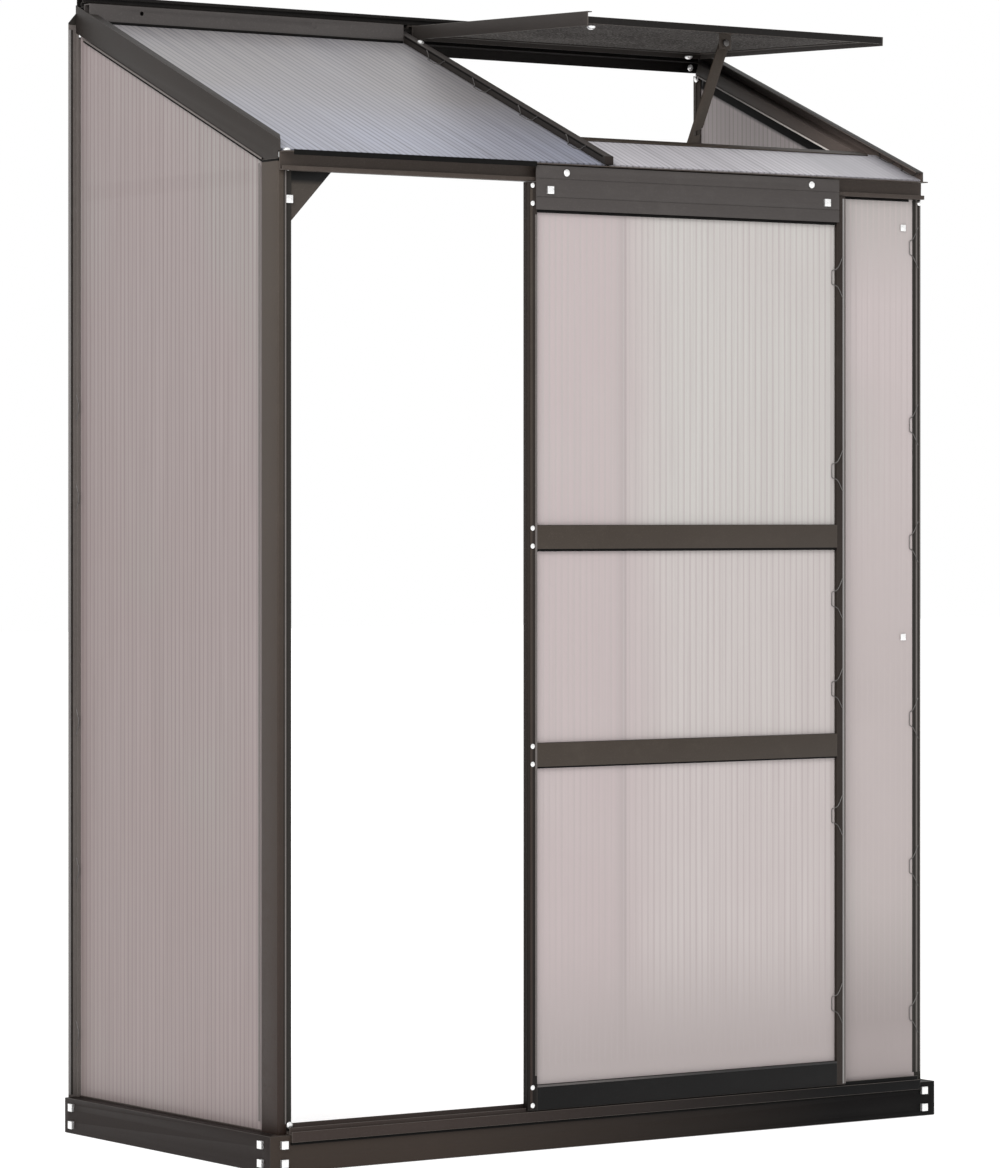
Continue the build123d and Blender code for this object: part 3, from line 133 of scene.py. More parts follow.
def powder_coat():
    """Baked powder: fine orange peel, specks of texture, and slow drifts of tone with dust in them."""
    tree, given, out = new_group(
        "powder_coat",
        (("Paint", "NodeSocketColor"), ("Dusty", "NodeSocketColor"), ("Gloss", "NodeSocketFloat")),
        (("Colour", "NodeSocketColor"), ("Roughness", "NodeSocketFloat"), ("Normal", "NodeSocketVector")))
    where = surface(tree)
    peel = noise(tree, where, scale=1300.0, detail=2.0)
    drift = ranged(tree, noise(tree, where, scale=2.6, detail=5.0, roughness=0.6), (0.35, 0.7), (0.0, 0.35))
    specks = ranged(tree, noise(tree, where, scale=420.0, detail=1.0), (0.58, 0.72), (0.0, 0.5))
    dust = ranged(tree, noise(tree, where, scale=34.0, detail=7.0, roughness=0.7), (0.52, 0.8), (0.0, 0.4))
    cover = maths(tree, "ADD", maths(tree, "ADD", drift, specks), dust, clamp=True)
    feed(tree, out, {"Colour": blended(tree, cover, given.outputs["Paint"], given.outputs["Dusty"]),
                     "Roughness": maths(tree, "MULTIPLY_ADD", cover, 0.25, given.outputs["Gloss"]),
                     "Normal": relief(tree, peel, strength=0.25, distance=0.0004)})
    return tree


POWDER = powder_coat()


def coated(name, paint, dusty, shine, gloss=POWDER_GLOSS, far=None):
    """A powder-coated finish in its own colours, or one that turns to a second pair along an axis, used here
    to lay painted light and shade along a piece.
    """
    finish, tree, shader = new_finish(name)
    feeds = {"Paint": (*paint, 1), "Dusty": (*dusty, 1), "Gloss": gloss}
    coat = place(tree, "ShaderNodeGroup", feeds, node_tree=POWDER)
    if far:
        far_paint, far_dusty, axis, start, end = far
        where = place(tree, "ShaderNodeSeparateXYZ", {"Vector": surface(tree)}).outputs[axis]
        along = ranged(tree, where, (start, end))
        feed(tree, coat, {"Paint": blended(tree, along, paint, far_paint),
                          "Dusty": blended(tree, along, dusty, far_dusty)})
    feed(tree, shader, {"Specular IOR Level": shine, "Base Color": coat.outputs["Colour"],
                        "Roughness": coat.outputs["Roughness"], "Normal": coat.outputs["Normal"]})
    return finish


BODY_OF = {node: body for body, nodes in frame["record"]["behaviour"]["bodies"].items() for node in nodes}


def alone(piece):
    """Select one piece and nothing else."""
    bpy.ops.object.select_all(action="DESELECT")
    piece.select_set(True)
    bpy.context.view_layer.objects.active = piece


def stand_for(piece, node):
    """A dressed piece rides where its drawn solid does, and hides it."""
    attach(piece, BODY_OF[node])
    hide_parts(node)


def eased(node, finish, rubbed, width, steps=2):
    """A drawn piece with its sharp edges rounded over, and the rounding in its own paler finish."""
    bar = bpy.data.objects.new(node + "_eased", frame["nodes"][node].data.copy())
    bpy.context.scene.collection.objects.link(bar)
    alone(bar)
    bar.data.materials.clear()
    bar.data.materials.append(finish)
    bar.data.materials.append(rubbed)
    bpy.ops.object.mode_set(mode="EDIT")
    bpy.ops.mesh.select_all(action="SELECT")
    bpy.ops.mesh.remove_doubles(threshold=MERGE_WITHIN)
    bpy.ops.mesh.dissolve_limited(angle_limit=FLAT_WITHIN)
    bpy.ops.object.mode_set(mode="OBJECT")
    round_over = bar.modifiers.new("round_over", "BEVEL")
    round_over.width = width
    round_over.segments = steps
    round_over.limit_method = "ANGLE"
    round_over.angle_limit = SHARP_FROM
    round_over.material = 1
    bpy.ops.object.modifier_apply(modifier=round_over.name)
    bpy.ops.object.shade_smooth_by_angle(angle=SMOOTH_BELOW)
    stand_for(bar, node)
    return bar


base_paint = coated("base_paint", (0.012, 0.0085, 0.0075), (0.022, 0.017, 0.015), shine=0.1, gloss=0.45)
# Painted light and shade: the front rail's coat is lighter at its left end and turns near-black towards its
# right.
base_front_shaded = coated("base_front_shaded", (0.033, 0.0245, 0.0195), (0.036, 0.028, 0.024), shine=0.08,
                          gloss=0.45,
                          far=((0.0015, 0.0012, 0.0012), (0.006, 0.0052, 0.005), "X", -0.35, 0.45))
base_edge = coated("base_edge", (0.030, 0.025, 0.022), (0.060, 0.053, 0.048), shine=0.25, gloss=0.38)
for node in BASE_STEEL:
    eased(node, base_front_shaded if node == "base_front" else base_paint, base_edge, BASE_EDGE)


# Base bolts. Square-headed coach bolts pushed through the rails from outside, nuts on the angles.
# Steel with a bright zinc plate, which has a soft spangle with duller grains in it.
BOLT_EDGE = 0.0016
BOLT_STEPS = 3


def zinc_plate():
    """Bright zinc: a soft spangle with duller grains in it."""
    finish, tree, shader = new_finish("zinc")
    grain = place(tree, "ShaderNodeTexVoronoi", {"Vector": surface(tree), "Scale": 620.0}).outputs["Color"]
    grey = place(tree, "ShaderNodeSeparateColor", {"Color": grain}).outputs[0]
    feed(tree, shader, {"Metallic": 0.85, "Roughness": ranged(tree, grey, onto=(0.26, 0.44)),
                        "Base Color": blended(tree, grey, (0.70, 0.70, 0.69), (0.90, 0.90, 0.90))})
    return finish


zinc = zinc_plate()
eased("base_bolts", zinc, zinc, BOLT_EDGE, BOLT_STEPS)


# Sills. Extruded aluminium channels screwed down on the base: a guide for the door along the front,
# and a glazing channel on each side. Bronze-brown powder coat, scuffed by feet, painted darker to near-black
# towards the right as shade; a black rubber strip under the guide stands for the shadow under its apron.
ALLOY_EDGE = 0.00045
TRIM_EDGE = 0.0004
WIDEST_EASE = 0.4
SILL_SHADOW_STRIP = ((1.228, 0.0030, 0.0040), (0, -0.3066, 0.0429))
LEVEL = (0, 0, 0)
bronze_edge = coated("bronze_edge", (0.062, 0.051, 0.043), (0.10, 0.088, 0.078), shine=0.3, gloss=0.4)
# Painted shade: the sills' coat darkens to near-black towards the right.
bronze_dark_shaded = coated("bronze_dark_shaded", (0.033, 0.0245, 0.0215), (0.042, 0.034, 0.031), shine=0.08,
                     far=((0.0015, 0.0015, 0.0016), (0.006, 0.006, 0.006), "X", -0.35, 0.45))


def alloy(node, finish):
    """An aluminium piece in its coat, rubbed paler along its edges."""
    return eased(node, finish, bronze_edge, ALLOY_EDGE)


def slim_bar(name, size, spot, finish, body="frame", slot="frame_alloy", turn=LEVEL, ease=TRIM_EDGE):
    """A slim straight piece with its edges rounded, set in its place."""
    bpy.ops.object.select_all(action="DESELECT")
    bpy.ops.mesh.primitive_cube_add(size=1.0)
    bar = bpy.context.object
    bar.name = name
    bar.scale = size
    bpy.ops.object.transform_apply(location=True, rotation=True, scale=True)
    bpy.ops.object.mode_set(mode="EDIT")
    bpy.ops.mesh.select_all(action="SELECT")
    bpy.ops.mesh.bevel(offset=min(ease, WIDEST_EASE * min(size)), segments=2, affect="EDGES")
    bpy.ops.object.mode_set(mode="OBJECT")
    bar.rotation_euler = turn
    bar.location = spot
    bpy.ops.object.transform_apply(location=True, rotation=True, scale=True)
    bpy.ops.object.shade_smooth_by_angle(angle=SMOOTH_BELOW)
    bar.data.materials.append(finish)
    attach(bar, body)
    return bar


def mottled(name, scale, detail, tones, rough, plain):
    """A finish that wanders between two tones, and between two roughnesses, in a fine mottle."""
    finish, tree, shader = new_finish(name)
    patch = noise(tree, surface(tree), scale, detail)
    feed(tree, shader, {"Base Color": blended(tree, patch, *tones),
                        "Roughness": ranged(tree, patch, onto=rough), **plain})
    return finish


rubber = mottled("rubber", scale=90.0, detail=5.0, tones=((0.001, 0.001, 0.001), (0.007, 0.0065, 0.006)),
                 rough=(0.6, 0.9), plain={"Specular IOR Level": 0.08})


def rubber_shade_strip(name, size, spot, body="frame", turn=LEVEL, ease=TRIM_EDGE):
    """A strip of black rubber, set where a line of shade falls: painted shade."""
    return slim_bar(name, size, spot, rubber, body, "nylon", turn, ease)


for node in ("front_sill", "left_sill", "right_sill"):
    alloy(node, bronze_dark_shaded)
rubber_shade_strip("sill_shadow_strip", *SILL_SHADOW_STRIP)


# Posts. Extruded aluminium sections bolted to the sills, with grooves that take the sheet's edges.
# The same bronze-brown coat as the rest of the frame, painted darker and redder towards the ground as
# shade, worn pale and painted with highlights along the lips that meet the sheet; the open ends are capped.
JAMB_FIN_X = -0.6149
POST_TALL, POST_MIDDLE = 1.458, 0.801
REAR_TALL, REAR_MIDDLE = 1.716, 0.918
POST_CAP = ((0.0158, 0.0466, 0.0034), (-0.6224, -0.2721, 1.5318))
REAR_CAP = ((0.0140, 0.0016, 0.0180), (-0.6370, 0.3142, 1.7934))
REAR_CAP_DROP = 0.0150
bronze = coated("bronze", (0.0325, 0.0245, 0.0185), (0.054, 0.043, 0.035), shine=0.2)
# Painted shade: a darker copy of the coat for the jamb fin, the grooves, the front right post and the rear
# cap.
bronze_fin_shade = coated("bronze_fin_shade", (0.0175, 0.0155, 0.0135), (0.028, 0.025, 0.022), shine=0.1)
# Painted light: a lighter copy of the coat for the rear left post and the left rafter's lip.
bronze_highlit = coated("bronze_highlit", (0.092, 0.080, 0.074), (0.132, 0.119, 0.111), shine=0.2)
# Pale lips and beads along the edges: partly wear, partly painted highlight.
bronze_wear_and_highlight = coated("bronze_wear_and_highlight", (0.098, 0.086, 0.081), (0.145, 0.132, 0.125), shine=0.2, gloss=0.42)
bronze_post_foot_shade = coated("bronze_post_foot_shade", (0.0365, 0.0275, 0.0210), (0.060, 0.048, 0.039), shine=0.2,
                     far=((0.0180, 0.0100, 0.0072), (0.029, 0.0180, 0.0140), "Z", 1.35, 0.10))
# Painted highlight: pale lines along the rear post and the right stile's lip.
pale_alloy_highlight = coated("pale_alloy_highlight", (0.19, 0.182, 0.178), (0.25, 0.242, 0.238), shine=0.25, gloss=0.4)
POST_TRIM = (("far_post_strip", (0.0042, 0.0008), (0.6130, -0.2950), bronze_fin_shade),
             ("far_post_rib", (0.0034, 0.0006), (0.6197, -0.2952), bronze_wear_and_highlight),
             ("far_post_edge", (0.0020, 0.0006), (0.6266, -0.2952), bronze_wear_and_highlight),
             ("post_lip", (0.0005, 0.0050), (-0.6302, -0.2418), bronze_wear_and_highlight),
             ("post_bead", (0.0024, 0.0008), (-0.6164, -0.2953), bronze_wear_and_highlight),
             ("post_groove", (0.0018, 0.0004), (-0.6187, -0.2951), bronze_fin_shade))
REAR_TRIM = (("rear_bead", (0.0042, 0.0010), (-0.6421, 0.3129), pale_alloy_highlight),
             ("rear_groove", (0.0034, 0.0006), (-0.6383, 0.3131), bronze_fin_shade))


def refinish(piece, finish, chosen):
    """Some of a piece's faces in a finish of their own."""
    piece.data.materials.append(finish)
    for face in piece.data.polygons:
        if chosen(face):
            face.material_index = len(piece.data.materials) - 1


def pulled(piece, move, chosen):
    """Some of a piece's corners drawn along together."""
    alone(piece)
    bpy.ops.object.mode_set(mode="EDIT")
    bpy.ops.mesh.select_mode(type="VERT")
    bpy.ops.mesh.select_all(action="DESELECT")
    shape = bmesh.from_edit_mesh(piece.data)
    for corner in shape.verts:
        corner.select = chosen(corner.co)
    bmesh.update_edit_mesh(piece.data)
    bpy.ops.transform.translate(value=move)
    bpy.ops.object.mode_set(mode="OBJECT")


for node in ("rear_right_post", "middle_post"):
    alloy(node, bronze)
alloy("front_right_post", bronze_fin_shade)
alloy("rear_left_post", bronze_highlit)
jamb = alloy("front_left_post", bronze_post_foot_shade)
# Painted shade: the set-back jamb fin's front faces take the darker copy.
refinish(jamb, bronze_fin_shade, lambda face: face.center.x > JAMB_FIN_X and face.normal.y < -0.3)
for trim, tall, middle in ((POST_TRIM, POST_TALL, POST_MIDDLE), (REAR_TRIM, REAR_TALL, REAR_MIDDLE)):
    for name, section, plan, finish in trim:
        slim_bar(name, (*section, tall), (*plan, middle), finish)
# Painted shade: the post's black rubber cap also stands for the dark gap under the rafter's foot.
rubber_shade_strip("post_cap", *POST_CAP)
rear_cap = slim_bar("rear_cap", *REAR_CAP, bronze_fin_shade)
pulled(rear_cap, (0, 0, -REAR_CAP_DROP), lambda at: at.x < REAR_CAP[1][0] and at.z > REAR_CAP[1][2])


# Eave rail. One long extrusion across the posts: drip lip on top, the door's track in front and a
# channel behind for the fixed pane. Bolted through the gussets; black rubber strips on its lip above the
# doorway, and under it at the fixed pane, stand for the shadow lines there: painted shade.
DRIP_SHADOW_STRIP = ((0.4496, 0.0020, 0.0080), (-0.3888, -0.3148, 1.5428))
DRIP_SHADOW_STRIP_EDGE = 0.0008
PANE_HEAD_SHADOW_STRIP = ((0.1560, 0.0018, 0.0040), (0.5240, -0.2959, 1.5140))
bronze_eave = coated("bronze_eave", (0.038, 0.0285, 0.0235), (0.064, 0.052, 0.044), shine=0.16)
alloy("eave_rail", bronze_eave)
rubber_shade_strip("drip_shadow_strip", *DRIP_SHADOW_STRIP, ease=DRIP_SHADOW_STRIP_EDGE)
rubber_shade_strip("pane_head_shadow_strip", *PANE_HEAD_SHADOW_STRIP)


# Rafters. Two edge sections and a boxed middle one, cut plumb at the eave and at the wall, with black
# rubber strips against the sheets that stand for the shadow lines there: painted shade. The middle box is
# stopped at its low end with a folded cap; the right one has a strip inside, painted lighter than its shaded
# channel, with a pale bead painted as a highlight, and the left one's flange is cut back at its foot.
ROOF_PITCH = radians(22.5)
UP_SLOPE = (ROOF_PITCH, 0, 0)
MIDDLE_TOP = 1.683
FAR_LEDGE = 1.6759
FLANGE_TIP = (-0.6155, -0.2985, 1.555)
FLANGE_BACK = (0, 0.024, 0.00994)
MIDDLE_CAP = ((0.0158, 0.0014, 0.0136), (-0.014, -0.3006, 1.5548))
MIDDLE_CAP_EDGE = 0.0005
bronze_shade = coated("bronze_shade", (0.0185, 0.0155, 0.0138), (0.036, 0.031, 0.028), shine=0.16)
bronze_grey_lit = coated("bronze_grey_lit", (0.042, 0.0365, 0.0345), (0.067, 0.060, 0.057), shine=0.2)
# Painted light: bronze_lit brightens the right rafter's shaded channel towards the front, and bead_lit's
# near-white is a painted highlight on the ledge's edge.
bronze_lit = coated("bronze_lit", (0.030, 0.0265, 0.024), (0.046, 0.041, 0.0375), shine=0.12,
                    far=((0.092, 0.072, 0.063), (0.125, 0.101, 0.090), "Y", 0.22, -0.12))
bead_lit = coated("bead_lit", (0.13, 0.118, 0.11), (0.19, 0.172, 0.162), shine=0.25, gloss=0.4,
                  far=((0.66, 0.61, 0.57), (0.76, 0.71, 0.68), "Y", 0.18, -0.06))
RAFTER_TRIM = (("rafter_lip", (0.0012, 0.5860, 0.0030), (-0.6305, 0.0214, 1.6480), bronze_highlit),
               ("rafter_strip", (0.0014, 0.4820, 0.0214), (0.6035, 0.0625, 1.6814), bronze_lit),
               ("strip_bead", (0.0018, 0.4820, 0.0026), (0.6027, 0.0625, 1.6704), bead_lit))
# Black rubber strips laid as painted shade: under the middle rafter's top flange, under the left rafter's
# lip, and on the right wall under its rafter.
RAFTER_SHADOW_STRIPS = (("rafter_groove_shadow", (0.0008, 0.6100, 0.0024), (-0.0222, -0.0120, 1.6783)),
                ("rafter_lip_shadow", (0.0030, 0.5860, 0.0034), (-0.6278, 0.0214, 1.6444)),
                ("far_pane_shadow", (0.0010, 0.5400, 0.0230), (0.6209, 0.0400, 1.6492)))


def above_slope(at):
    """A point's height, less the roof's rise at its depth."""
    return at.z - tan(ROOF_PITCH) * at.y


def drawn_back(piece, move, tip):
    """The tip of a flange drawn back: the corners inside, in front of and above a point."""
    pulled(piece, move, lambda at: at.x > tip[0] and at.y < tip[1] and at.z > tip[2])


# Painted light: the middle rafter's top faces, and the door header, take a lighter copy of the coat.
middle_rafter = alloy("middle_rafter", bronze_shade)
refinish(middle_rafter, bronze_grey_lit,
         lambda face: face.normal.z > 0.8 and above_slope(face.center) > MIDDLE_TOP)
drawn_back(alloy("left_rafter", bronze_shade), FLANGE_BACK, FLANGE_TIP)
# Painted light: the right rafter's inner faces and ledge are lighter, though they lie in shade.
far_rafter = alloy("right_rafter", bronze_shade)
refinish(far_rafter, bronze_lit, lambda face: face.normal.x < -0.5 or
         face.normal.z > 0.5 and above_slope(face.center) < FAR_LEDGE)
slim_bar("rafter_cap", *MIDDLE_CAP, bronze_dark_shaded, ease=MIDDLE_CAP_EDGE)
for name, size, spot, finish in RAFTER_TRIM:
    slim_bar(name, size, spot, finish, turn=UP_SLOPE)
for name, size, spot in RAFTER_SHADOW_STRIPS:
    rubber_shade_strip(name, size, spot, turn=UP_SLOPE)


# Wall bar and ridge cover. The bar is screwed to the wall and carries the vent's hinge groove;
# the cover clips in front of it, over the top edge of the fixed roof sheet, with rubber along its foot.
COVER_SEAL = ((0.5780, 0.0016, 0.0042), (-0.3140, 0.2716, 1.7864))
# Painted shade: the wall bar hangs in the shadow of the cover and the vent, so its coat is near-black; the
# vent's front rail takes it too.
bar_black_shade = coated("bar_black_shade", (0.0075, 0.0065, 0.006), (0.016, 0.0145, 0.0135), shine=0.1)
cover_grey = coated("cover_grey", (0.050, 0.0445, 0.0425), (0.075, 0.068, 0.065), shine=0.2)
alloy("wall_bar", bar_black_shade)
alloy("ridge_cover", cover_grey)
# The rubber along the cover's foot also stands for the dark shadow line there: painted shade.
rubber_shade_strip("cover_seal", *COVER_SEAL)


# Ties, brace, gussets and crossbar. Folded and pressed aluminium pieces that stiffen the frame, bolted
# across its corners and coated with it. The gussets are painted black at the top, as the eave's shadow on
# them.
bronze_gusset_shaded = coated("bronze_gusset_shaded", (0.0325, 0.0265, 0.0215), (0.054, 0.045, 0.038), shine=0.2,
                       far=((0.0012, 0.0011, 0.0011), (0.003, 0.0028, 0.0028), "Z", 1.4955, 1.5035))
for node in ("left_tie", "right_tie", "front_brace", "vent_crossbar"):
    alloy(node, bronze)
for node in ("left_gusset", "right_gusset"):
    alloy(node, bronze_gusset_shaded)


# Frame bolts and the stay's peg. Zinc-plated steel: square heads towards the inside, and a plain pin
# riveted into the crossbar.
FRAME_BOLT_EDGE = 0.0012
PEG_EDGE = 0.0006
eased("frame_bolts", zinc, zinc, FRAME_BOLT_EDGE, BOLT_STEPS)
eased("stay_peg", zinc, zinc, PEG_EDGE)


# Fixed sheets. Twin-wall polycarbonate, 4 mm thick, extruded with a web every 12 mm and cut to size.
# Milky, faintly pink in the walls and cooler in the roof; the webs show as fine lines through it. The
# sheets carry painted light and shade: each side its own tone, and dark at the foot and under the right
# rafter.
FLUTE = 0.012
FLUTE_DIP = 0.0003
SHEET = 0.004
SHEET_SMOOTH = radians(30)
WALL_GLOSS, ROOF_GLOSS = 0.42, 0.35
WALL_FADE = ("Z", 0.3, 1.7)
COOL_BLOOM = (0.99, 1.075, 1.04)
FAR_TONES = ((0.325, 0.282, 0.277), (0.345, 0.308, 0.305))
FAR_WEB = (0.235, 0.205, 0.20)
STANDING_FRONT = (pi / 2, 0, 0)
STANDING_SIDE = (pi / 2, 0, pi / 2)


def twin_wall():
    """Twin-wall sheet: fine web lines, cells that swell between them, and streaks along the extrusion."""
    tree, given, out = new_group(
        "twin_wall",
        (("Across", "NodeSocketFloat"), ("Along", "NodeSocketFloat"), ("Sheet", "NodeSocketColor"),
         ("Web", "NodeSocketColor"), ("Haze", "NodeSocketFloat")),
        (("Colour", "NodeSocketColor"), ("Alpha", "NodeSocketFloat"), ("Normal", "NodeSocketVector")))
    across, along = given.outputs["Across"], given.outputs["Along"]
    off_web = maths(tree, "PINGPONG", across, FLUTE / 2)
    web = ranged(tree, off_web, (0.0006, 0.0022), (1.0, 0.0))
    swell = ranged(tree, off_web, (0.0, FLUTE / 2))
    grain = place(tree, "ShaderNodeCombineXYZ", {"X": maths(tree, "MULTIPLY", across, 170.0),
                                                 "Y": maths(tree, "MULTIPLY", along, 2.2)}).outputs[0]
    streak = ranged(tree, noise(tree, grain, scale=1.0, detail=3.0), (0.4, 0.75), (0.0, 0.45))
    lines = maths(tree, "MULTIPLY_ADD", web, 0.75, streak, clamp=True)
    feed(tree, out, {"Colour": blended(tree, lines, given.outputs["Sheet"], given.outputs["Web"]),
                     "Alpha": maths(tree, "MULTIPLY_ADD", web, 0.03, given.outputs["Haze"], clamp=True),
                     "Normal": relief(tree, swell, strength=0.3, distance=0.0004)})
    return tree


TWIN_WALL = twin_wall()


def sheet_finish(name, across, along, tones, web, haze, fade, gloss=WALL_GLOSS, edge=None, painted_shade=None,
                 bloom=0.0):
    """A sheet's finish: flutes along one axis, a tone that fades along another, painted shade in a band
    along that axis, painted shade that gathers under a level or sloping bar, and a cool bloom in patches."""
    finish, tree, shader = new_finish(name)
    where = surface(tree)
    at = place(tree, "ShaderNodeSeparateXYZ", {"Vector": where}).outputs
    axis, start, end = fade
    cloud = ranged(tree, noise(tree, where, scale=3.4, detail=2.0), (0.3, 0.7), (-0.22, 0.22))
    level = maths(tree, "ADD", ranged(tree, at[axis], (start, end), smooth=True), cloud, clamp=True)
    tone = blended(tree, level, *tones)
    if bloom:
        patch = noise(tree, where, scale=2.1, detail=1.5)
        patch = ranged(tree, patch, (0.46, 0.64), (0.0, bloom), smooth=True)
        tone = blended(tree, patch, tone, COOL_BLOOM, "MULTIPLY")
    if edge:
        start, end, shade = edge
        near = ranged(tree, at[axis], (start, end))
        band = maths(tree, "MULTIPLY", near, maths(tree, "LESS_THAN", at[axis], end))
        tone = blended(tree, band, tone, shade)
    cells = place(tree, "ShaderNodeGroup", {"Across": at[across], "Along": at[along], "Sheet": tone,
                                            "Web": (*web, 1), "Haze": haze}, node_tree=TWIN_WALL)
    colour, alpha = cells.outputs["Colour"], cells.outputs["Alpha"]
    # Painted shade: a band that darkens the sheet, and makes it opaque, under a level or sloping bar.
    if painted_shade:
        slope, start, end, shade_tone = painted_shade
        rise = maths(tree, "MULTIPLY_ADD", at["Y"], -slope, at["Z"])
        shade_mask = ranged(tree, rise, (start, end), smooth=True)
        colour = blended(tree, shade_mask, colour, shade_tone)
        alpha = maths(tree, "MAXIMUM", shade_mask, alpha)
    feed(tree, shader, {"Base Color": colour, "Alpha": alpha, "Normal": cells.outputs["Normal"],
                        "Roughness": gloss, "Specular IOR Level": 0.3})
    return finish


def fluted_sheet(node, finish, turn, spot, across, along, slope=None):
    """A sheet drawn flat as a row of flutes, thickened, cut to its size, then turned into its place."""
    first = floor(across[0] / FLUTE) - 1
    last = ceil(across[1] / FLUTE) + 1
    bpy.ops.object.select_all(action="DESELECT")
    bpy.ops.mesh.primitive_grid_add(x_subdivisions=2 * (last - first), y_subdivisions=1, size=1.0)
    sheet = bpy.context.object
    sheet.name = node + "_sheet"
    sheet.scale = ((last - first) * FLUTE, along[1] - along[0], 1)
    sheet.location = ((first + last) * FLUTE / 2, (along[0] + along[1]) / 2, SHEET)
    bpy.ops.object.transform_apply(location=True, rotation=True, scale=True)
    bpy.ops.object.mode_set(mode="EDIT")
    bpy.ops.mesh.select_mode(type="VERT")
    bpy.ops.mesh.select_all(action="DESELECT")
    flat = bmesh.from_edit_mesh(sheet.data)
    for corner in flat.verts:
        corner.select = round(2 * corner.co.x / FLUTE) % 2 == 1
    bmesh.update_edit_mesh(sheet.data)
    bpy.ops.transform.translate(value=(0, 0, -FLUTE_DIP))
    bpy.ops.mesh.select_all(action="SELECT")
    bpy.ops.mesh.extrude_region_move(TRANSFORM_OT_translate={"value": (0, 0, FLUTE_DIP - SHEET)})
    cuts = [((across[0], 0, 0), (-1, 0, 0)), ((across[1], 0, 0), (1, 0, 0))]
    if slope:
        cuts.append(slope)
    for point, away in cuts:
        bpy.ops.mesh.select_all(action="SELECT")
        bpy.ops.mesh.bisect(plane_co=point, plane_no=away, use_fill=True, clear_outer=True)
    bpy.ops.mesh.select_all(action="SELECT")
    bpy.ops.mesh.normals_make_consistent(inside=False)
    bpy.ops.object.mode_set(mode="OBJECT")
    sheet.rotation_euler = turn
    sheet.location = spot
    bpy.ops.object.transform_apply(location=True, rotation=True, scale=True)
    bpy.ops.object.shade_smooth_by_angle(angle=SHEET_SMOOTH)
    sheet.data.materials.append(finish)
    stand_for(sheet, node)
    return sheet


def front_sheet(node, finish):
    """A sheet that stands across the front."""
    low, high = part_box(node)
    return fluted_sheet(node, finish, STANDING_FRONT, (0, high.y, 0), (low.x, high.x),
                        (low.z, high.z))


def side_sheet(node, finish):
    """A sheet that stands at a side, cut to the roof's slope."""
    low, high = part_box(node)
    slope = ((high.y, high.z, 0), (-sin(ROOF_PITCH), cos(ROOF_PITCH), 0))
    return fluted_sheet(node, finish, STANDING_SIDE, (low.x, 0, 0), (low.y, high.y),
                        (low.z, high.z), slope)


def sloping_sheet(node, finish, pitch):
    """A sheet that lies up a slope."""
    low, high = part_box(node)
    foot_y = low.y + SHEET * sin(pitch)
    length = (high.y - foot_y) / cos(pitch)
    return fluted_sheet(node, finish, (pitch, 0, 0), (0, foot_y, low.z), (low.x, high.x),
                        (0, length))


# Painted light and shade: the one sheet takes a darker tone on the left wall, which gets less light, and
# lighter tones at the front and on the right wall.
wall_side = sheet_finish("wall_side", "Y", "Z", ((0.240, 0.194, 0.189), (0.250, 0.212, 0.209)),
                         (0.168, 0.132, 0.129), haze=0.88, fade=WALL_FADE, bloom=0.75)
# Painted shade: the fixed front sheet darkens at its top under the eave and at its foot.
wall_front = sheet_finish("wall_front", "X", "Z", ((0.372, 0.328, 0.320), (0.440, 0.385, 0.383)),
                          (0.384, 0.336, 0.331), haze=0.91, fade=("Z", 0.2, 1.5),
                          edge=(1.34, 1.56, (0.325, 0.306, 0.292)),
                          painted_shade=(0.0, 0.40, 0.11, (0.270, 0.234, 0.229)), bloom=0.5)
wall_far = sheet_finish("wall_far", "Y", "Z", FAR_TONES, FAR_WEB, haze=0.88, fade=WALL_FADE)
# Painted shadow: the right wall's inner face goes near-black in a band under the right rafter.
wall_inside = sheet_finish("wall_inside", "Y", "Z", FAR_TONES, FAR_WEB, haze=0.88, fade=WALL_FADE,
                           painted_shade=(tan(ROOF_PITCH), 1.6130, 1.6215, (0.012, 0.011, 0.012)))
# Painted light and shade on the roof: roof_cool is bluish towards the eave, a painted sky reflection;
# roof_bright, under the vent, is a lighter copy of the sheet, painted light, and darker to its right,
# painted shade.
roof_cool = sheet_finish("roof_cool", "X", "Y", ((0.300, 0.310, 0.377), (0.268, 0.254, 0.256)),
                         (0.115, 0.115, 0.13), haze=0.92, fade=("Y", -0.25, 0.05), gloss=ROOF_GLOSS)
roof_bright = sheet_finish("roof_bright", "X", "Y", ((0.570, 0.550, 0.580), (0.380, 0.367, 0.395)),
                           (0.30, 0.29, 0.31), haze=0.92, fade=("X", 0.36, 0.50), gloss=ROOF_GLOSS)
front_sheet("front_pane", wall_front)
side_sheet("left_wall_pane", wall_side)
far_pane = side_sheet("right_wall_pane", wall_far)
refinish(far_pane, wall_inside, lambda face: face.normal.x < -0.5)
sloping_sheet("left_roof_pane", roof_cool, ROOF_PITCH)
sloping_sheet("lower_roof_pane", roof_bright, ROOF_PITCH)


# Glazing clips. Spring wire bent to a shallow W: two legs bear on the bar and the loop presses the
# sheet home. Galvanised wire, 1.4 mm, gone dull; bent once for each kind of bar, in millimetres.
WIRE = 0.0007
MILLIMETRE = 0.001
FASTENER_SMOOTH = radians(45)
FACE_CLIP = ((-11, 34, 0.9), (-5, 23, 1.0), (-1, 17, 1.0), (1, 14.5, -1.2), (4, 13, -4.8), (6, 12.2, -5.2),
             (7, 10.5, -5.2), (7, -8.5, -5.2), (6, -10.2, -5.2), (4, -11, -4.8), (1, -12.5, -1.2),
             (-1, -15, 1.0), (-5, -21, 1.0), (-11, -33, 0.9))
FLUSH_CLIP = tuple((u, v, max(w, 0.6)) for u, v, w in FACE_CLIP)
REAR_CLIP = tuple((0.4 * u - 3.5, 0.6 * v, 0.6) for u, v, w in FACE_CLIP)
